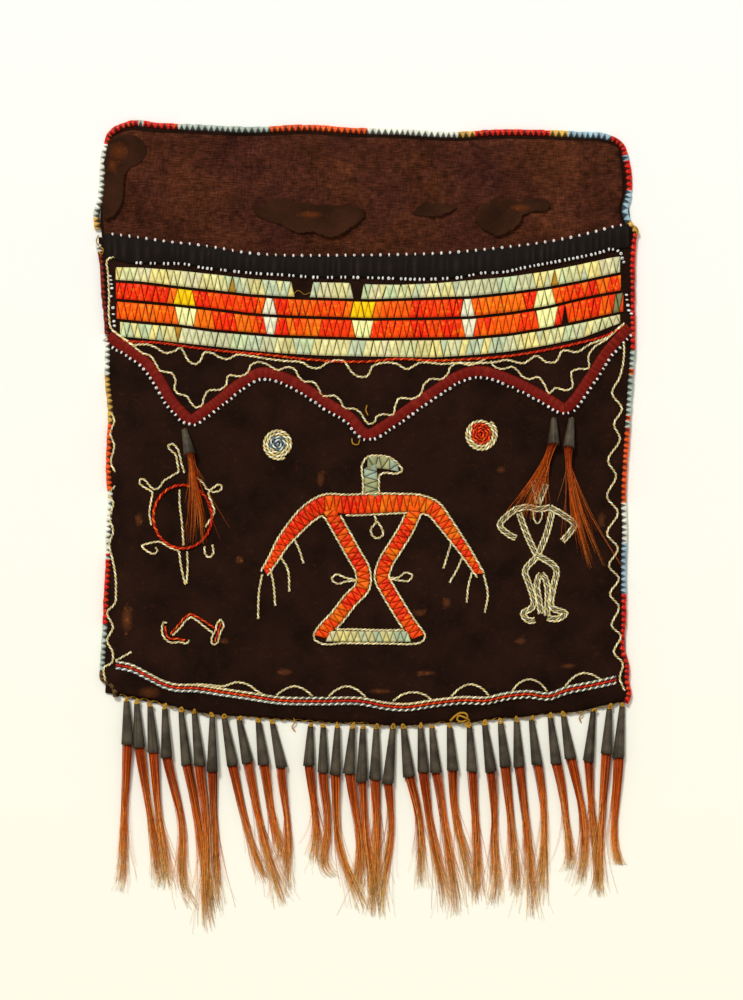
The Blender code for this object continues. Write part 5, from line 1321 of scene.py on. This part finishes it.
for line in BROKEN_LACES_PX:
    flat = smooth(from_photo(line), 0.7 * MM)
    thong_parts.append(lace(np.column_stack((flat, np.linspace(2.9, 0.6, len(flat)) * MM))))
tangle = smooth(from_photo(TANGLE_PX), 0.6 * MM)
tangle_height = face_height(tangle[:, 0], np.maximum(tangle[:, 1], hem(tangle[:, 0]))) + 0.6 * MM
knotted = tangle_height + 0.5 * MM * (1 + np.sin(np.arange(len(tangle)) * 0.5))
thong_parts.append(lace(np.column_stack((tangle, knotted)), 0.5 * MM))
LOOP_RISE, LOOP_HALF = 2.3 * MM, 0.75 * MM
loop_chance = np.random.default_rng(18)
for joint in frame["joints"]:
    if joint["child"].startswith("fringe_cone"):
        x, y, z = joint["pos_m"]
        turn = np.linspace(-0.2, loop_chance.uniform(1.3, 2.4), 24) * math.pi
        lean, shrink = loop_chance.uniform(-0.9, 0.9) * MM, np.linspace(1, 0.55, 24)
        rise = LOOP_RISE * loop_chance.uniform(0.6, 1.3)
        loop_x = x + LOOP_HALF * loop_chance.uniform(0.8, 1.6) * shrink * np.cos(turn) + lean * np.sin(turn)
        loop_y = y + 0.3 * MM + rise * np.maximum(shrink * np.sin(turn), 0)
        on_hem = face_height(loop_x, np.maximum(loop_y, hem(loop_x))) + 0.5 * MM
        over = np.maximum(on_hem, z) + 0.5 * MM * (1 - shrink)
        thong_parts.append(lace(np.column_stack((loop_x, loop_y, over)), 0.48 * MM))
new_piece("hem_lace", thong_parts, THONG, "pouch", ["hem_thong"])
knot_flat = smooth(from_photo(KNOT_PX), 0.6 * MM)
knot_rise = 2.6 * MM + 0.7 * MM * np.sin(np.linspace(0, 6, len(knot_flat)))
edge_flat = smooth(from_photo(EDGE_LACE_PX), 0.6 * MM)
edge_rise = 3.4 * MM + 0.4 * MM * np.sin(np.arange(len(edge_flat)))
loose_parts = [lace(np.column_stack((knot_flat, knot_rise)), 0.55 * MM)]
loose_parts.append(lace(np.column_stack((edge_flat, edge_rise))))
loose_parts += [lace(laid(line, 1.3 * MM, 0.6 * MM)) for line in LACES_PX]
loose_parts.append(lace(laid(THREAD_PX, 0.7 * MM, 0.6 * MM), 0.12 * MM))
new_piece("loose_laces", loose_parts, THONG, "pouch", ())

# The cones: strips of tinned sheet iron rolled to a point round a lace, with an overlapping seam, a narrow
# top and an open mouth. They are dark with age, and dented. Each swings on its own body, with the hair that
# is crimped in it.

TIN_DARK, TIN_BRIGHT, TIN_RUST = (54, 46, 34), (82, 73, 57), (60, 42, 26)
CONE_TOP, CONE_MOUTH = 1.1 * MM, 2.75 * MM
TIN_GAUGE = 0.28 * MM
CONE_START = -0.4 * MM  # where a cone's tin starts, from its pivot


def tin_material(name):
    """Tarnished tin: dull dark grey, a little lighter where it is rubbed, with small rust spots."""
    made, tree, shader = new_material(name, 0.5, specular=0.16)
    place = object_place(tree)
    patches, spots = noise(tree, place, 150.0, 5.0), noise(tree, place, 800.0, 4.0)
    base = blended(tree, spread(tree, patches, 0.38, 0.66), colour(TIN_BRIGHT), colour(TIN_DARK))
    base = blended(tree, spread(tree, spots, 0.58, 0.72, 0.0, 0.6), base, colour(TIN_RUST))
    tree.links.new(spread(tree, spots, 0.3, 0.7, 0.42, 0.62), shader.inputs["Roughness"])
    finish_surface(tree, shader, base, spots, 0.08 * MM, 0.4)
    return made


TIN = tin_material("tarnished_tin")


def cone_heights(node_name, pivot):
    """The heights of a cone's mouth and of its tassel's tip, from its solid: in order of distance from the
    pivot its points are 28 of its lace and top, 21 round its mouth, and then its tassel's."""
    points = np.unique([np.round(v.co, 6) for v in frame["nodes"][node_name].data.vertices], axis=0)
    points = points[np.argsort(np.linalg.norm(points - pivot, axis=1))]
    return points[28:49, 2].mean(), points[-7:, 2].mean()


def beside(axis):
    """The level direction across an axis, and the one that rises from both."""
    side = unit(np.cross(axis, (0.0, 0.0, 1.0)))
    return side, np.cross(side, axis)


def rolled_cone(pivot, axis, length, chance):
    """A cone rolled from sheet: its radius grows from the top to the mouth and by a sheet's gauge in each
    turn, from its inner edge to its outer one, with shallow dents and a mouth that is cut a little
    askew."""
    side, rise = beside(axis)
    along, turn = np.meshgrid(np.linspace(0, 1, 12), np.linspace(0, 1, 27), indexing="ij")
    start, skew = chance.uniform(0.2, 2.6), chance.uniform(-0.45, 0.45)
    angle = start + turn * (math.tau + 0.7)
    mouth_radius = CONE_MOUTH * chance.uniform(0.93, 1.04)
    radius = CONE_TOP + (mouth_radius - CONE_TOP) * along**0.92 + TIN_GAUGE * 1.3 * turn
    dent = sum(chance.uniform(-0.05, 0.05) * np.cos(k * angle + chance.uniform(0, 6)) for k in (2, 3))
    radius = radius * (1 + dent * (0.4 + 0.6 * along))
    reach = CONE_START + (length - CONE_START) * along + skew * MM * np.cos(angle) * along**3
    spine = pivot + axis * reach[..., None]
    spoke = side * np.cos(angle)[..., None] + rise * np.sin(angle)[..., None]
    return shell(spine + spoke * radius[..., None], spine + spoke * (radius - TIN_GAUGE)[..., None])


def cone_lace(pivot, axis, chance):
    """The lace: a loose half knot about the pivot, and a run down into the cone's top."""
    at = np.linspace(-0.8 * MM, CONE_START + 2 * MM, 22)[:, None]
    side, rise = beside(axis)
    coil = np.clip(1 - (at / MM) ** 2 / 1.2, 0, 1) * 0.6 * MM
    turn = np.linspace(0, 3.3 * math.pi, 22)[:, None] + chance.uniform(0, 6)
    path = pivot + axis * at + side * np.cos(turn) * coil + rise * np.sin(turn) * coil
    points, faces = tubes(path[None], 0.38 * MM, sides=6)
    return points, faces, np.broadcast_to(colour(THONG_OCHRE) * chance.uniform(0.6, 1.1), (len(points), 3))


# The tassels: tufts of red-dyed deer hair, root end crimped in the cone. The hair is stiff and slightly
# crinkled, swells just below the cone and thins to scattered tips, where its dye has faded to gold.

HAIR_ROOT, HAIR_MIDDLE, HAIR_TIP = (168, 50, 5), (244, 116, 20), (255, 198, 98)
HAIR_GOLD, HAIR_BROWN = (255, 216, 136), (104, 36, 8)
HAIRS = 140
HAIR_STEPS = 11
CONE_MOUTHS_PX = [  # middle of each cone's mouth on the hem, from left to right
    (127.9, 744), (139.6, 747), (154, 752), (167, 757), (187, 764), (200, 765), (213, 771), (233, 765),
    (248, 762), (264, 764), (282, 767), (309, 765), (323, 772), (335.5, 774), (349, 773), (362, 781),
    (375, 779), (388, 783), (409, 776), (423, 771.5), (436, 772), (452.5, 770), (472, 771), (491, 771),
    (505, 766), (519, 766), (537, 764), (556, 763), (570.5, 758), (588, 761), (606, 753), (618, 757),
]
FACE_MOUTHS_PX = [(191.5, 455), (552, 445), (566.5, 448)]
TASSELS_PX = [  # middle and tip of each tassel on the hem, from left to right
    (124, 835, 119, 894), (152, 834, 161, 887), (161, 834, 167, 891), (183, 842, 197, 910),
    (202, 842, 210, 923), (207, 850, 211, 935), (215, 842, 220, 912), (251, 842, 269, 884),
    (265, 842, 283, 909), (276, 832, 280, 862), (286, 834, 294, 894), (315, 825, 322, 866),
    (327, 842, 334, 878), (342, 851, 358, 914), (358, 851, 361, 894), (367, 845, 371, 917),
    (377, 845, 377, 920), (390, 845, 382, 919), (421, 835, 422, 891), (434, 845, 447, 913),
    (449, 845, 453, 919), (458, 826, 471, 900), (476, 845, 480, 906), (497, 845, 488, 909),
    (513, 845, 517, 898), (528, 845, 534, 921), (545, 835, 539, 909), (569, 832, 563, 872),
    (585, 835, 580, 887), (593, 826, 600, 891), (600, 845, 597, 898), (615, 845, 613, 863),
]
FACE_TASSELS_PX = [(196, 483, 199, 548), (540, 470, 521, 522), (571, 490, 594, 572)]
FACE_HAIR = {"hairs": 130, "fullness": 2 * MM, "fading": 0.35, "scatter": 1.9}


def hair_material(name):
    """Deer hair: its own tint along each strand, with a soft shine."""
    made, tree, shader = new_material(name, 0.45, specular=0.12)
    flecks = noise(tree, object_place(tree), 500.0, 2.0)
    base = toned(tree, attribute(tree, "tint", "Color"), spread(tree, flecks, 0.3, 0.7, 0.85, 1.15))
    tree.links.new(base, shader.inputs["Base Color"])
    return made


HAIR = hair_material("dyed_deer_hair")


def tassel(root, axis, middle, tip, floor, chance, fullness=2.4 * MM, hairs=HAIRS, fading=1.0, scatter=1.0):
    """Strands on curves from the cone's mouth by a middle point to the tip. Each keeps its own place in the
    bundle, leaves it sideways more and more towards its end, and ends at its own length. None sinks below
    the floor."""
    ends = np.clip(1.0 - np.abs(chance.normal(0, 0.4, hairs)), 0.25, 1)[:, None, None]
    t = np.linspace(0, 1, HAIR_STEPS)[None, :, None] * ends
    bend = middle - (root + tip) / 2
    line = root + (tip - root) * t + bend * 4 * t * (1 - t) * 0.9
    offset = np.clip(chance.normal(0, 0.45, (hairs, 1)), -1.05, 1.05)
    flare = chance.normal(0, 1, (hairs, 1))
    flare = flare * np.where(chance.random((hairs, 1)) < 0.14, 6.5 * MM, 2.4 * MM) * scatter
    stack = chance.uniform(0, 1, (hairs, 1))
    share = t[..., 0]
    crinkle = np.sin(share * chance.uniform(5, 16, (hairs, 1)) + chance.uniform(0, 6, (hairs, 1)))
    crinkle = 0.45 * MM * crinkle * share
    drift = chance.normal(0, 1.8 * MM) * np.sin(share * chance.uniform(4, 7))
    narrow = 0.98 - 0.45 * np.clip(share / 0.35, 0, 1) + 0.25 * share
    sideways = offset * fullness * narrow + crinkle + drift * share + flare * share**2.2
    height = floor(line) + 0.18 * MM + stack * (0.5 + 2.4 * (1 - share) ** 0.7) * MM
    round_mouth = np.sqrt(np.clip(1 - (offset / 1.1) ** 2, 0.05, 1))
    start_height = root[2] + (stack - 0.5) * 2 * round_mouth * fullness * 0.85
    blend = np.clip(share / 0.2, 0, 1)
    path = line + beside(axis)[0] * sideways[..., None]
    path[..., 2] = np.maximum(start_height * (1 - blend) + height * blend, floor(line) + 0.15 * MM)
    radius = 0.15 * MM * (1 - 0.68 * np.linspace(0, 1, HAIR_STEPS)) * chance.uniform(0.8, 1.25, (hairs, 1))
    points, faces = tubes(path, radius, sides=3)
    fade = np.clip(share[..., None] ** 1.1 * fading + chance.normal(0, 0.14, (hairs, 1, 1)), 0, 1)
    start, dyed, faded = colour(HAIR_ROOT), colour(HAIR_MIDDLE), colour(HAIR_TIP)
    early, late = start + (dyed - start) * fade / 0.4, dyed + (faded - dyed) * (fade - 0.4) / 0.6
    shade = np.where(fade < 0.4, early, late)
    kind = chance.random((hairs, 1, 1))
    gold = 0.6 * fading * (kind < 0.2) * np.clip(share[..., None] * 2.5, 0, 1)
    shade = shade * (1 - gold) + colour(HAIR_GOLD) * gold
    shade = np.where(kind > 0.84, shade * 0.4 + colour(HAIR_BROWN) * 0.6, shade)
    shade = np.clip(shade * chance.uniform(0.6, 1.3, (hairs, 1, 1)), 0, 1)
    return points, faces, ring_tints(shade, sides=3)


def on_table(points):
    return np.zeros(points.shape[:2])


def on_face(points):
    return face_height(points[..., 0], points[..., 1]) + 1.4 * MM


def dress_cone(node_name, mouth_px, tassel_px, floor, seed, **hair):
    """A cone's tin, lace and tassel, on the cone's own body."""
    chance = np.random.default_rng(seed)
    pivot = np.array(next(joint["pos_m"] for joint in frame["joints"] if joint["child"] == node_name))
    mouth_height, tip_height = cone_heights(node_name, pivot)
    mouth_xy, middle_xy, tip_xy = from_photo([mouth_px, tassel_px[:2], tassel_px[2:]])
    axis = np.array((*mouth_xy, mouth_height)) - pivot
    length = np.linalg.norm(axis)
    axis /= length
    tin = rolled_cone(pivot, axis, length, chance)
    new_piece(node_name + "_tin", [tin], TIN, node_name, [node_name])
    new_piece(node_name + "_lace", [cone_lace(pivot, axis, chance)], THONG, node_name, ())
    root = pivot + axis * (length - 1.4 * MM)
    middle = np.array((*middle_xy, root[2]))
    end = np.array((*tip_xy, tip_height))
    tuft = tassel(root, axis, middle, end, floor, chance, **hair)
    new_piece(node_name + "_hair", [tuft], HAIR, node_name, ())


for number, places_px in enumerate(zip(CONE_MOUTHS_PX, TASSELS_PX), 1):
    dress_cone(f"fringe_cone_{number:02d}", *places_px, on_table, 100 + number)
for number, places_px in enumerate(zip(FACE_MOUTHS_PX, FACE_TASSELS_PX), 1):
    dress_cone(f"face_cone_{number}", *places_px, on_face, 200 + number, **FACE_HAIR)

# The studio: a pale cream table, soft light from all sides with a little more from the upper left, and a
# camera straight above, as in the photograph.

FLOOR_WHITE, FLOOR_CREAM = (254, 254, 249), (254, 251, 232)
CAMERA_MIDDLE = (2.0 * MM, -42.5 * MM)
VIEW_HEIGHT = 0.5
LENS, SENSOR = 100, 36

floor_mesh = bpy.data.meshes.new("table")
floor_corners = [(x, y, -0.1 * MM) for x, y in ((-3, -3), (3, -3), (3, 3), (-3, 3))]
floor_mesh.from_pydata(floor_corners, [], [(0, 1, 2, 3)])
table = bpy.data.objects.new("table", floor_mesh)
bpy.context.scene.collection.objects.link(table)
TABLE, table_tree, table_shader = new_material("cream_table", 0.9, specular=0.0)
table_place = put(table_tree, "ShaderNodeSeparateXYZ", {0: object_place(table_tree)})
table_fade = spread(table_tree, table_place.outputs[1], -0.28, 0.2)
table_base = blended(table_tree, table_fade, colour(FLOOR_CREAM), colour(FLOOR_WHITE))
table_tree.links.new(table_base, table_shader.inputs["Base Color"])
floor_mesh.materials.append(TABLE)

world = bpy.data.worlds.new("studio")
bpy.context.scene.world = world
world.use_nodes = True
world.node_tree.nodes["Background"].inputs["Color"].default_value = (1.0, 0.985, 0.96, 1)
world.node_tree.nodes["Background"].inputs["Strength"].default_value = 0.5
sun_data = bpy.data.lights.new("key", "SUN")
sun_data.energy = 2.1
sun_data.angle = math.radians(14)
sun = bpy.data.objects.new("key", sun_data)
sun.rotation_euler = Vector((-0.3, 0.55, 0.78)).to_track_quat("Z", "Y").to_euler()
bpy.context.scene.collection.objects.link(sun)

camera_data = bpy.data.cameras.new("camera")
camera_data.lens = LENS
camera_data.sensor_width = SENSOR
camera = bpy.data.objects.new("camera", camera_data)
camera.location = (*CAMERA_MIDDLE, VIEW_HEIGHT * LENS / SENSOR)
bpy.context.scene.collection.objects.link(camera)
bpy.context.scene.camera = camera
bpy.context.scene.view_settings.view_transform = "Standard"
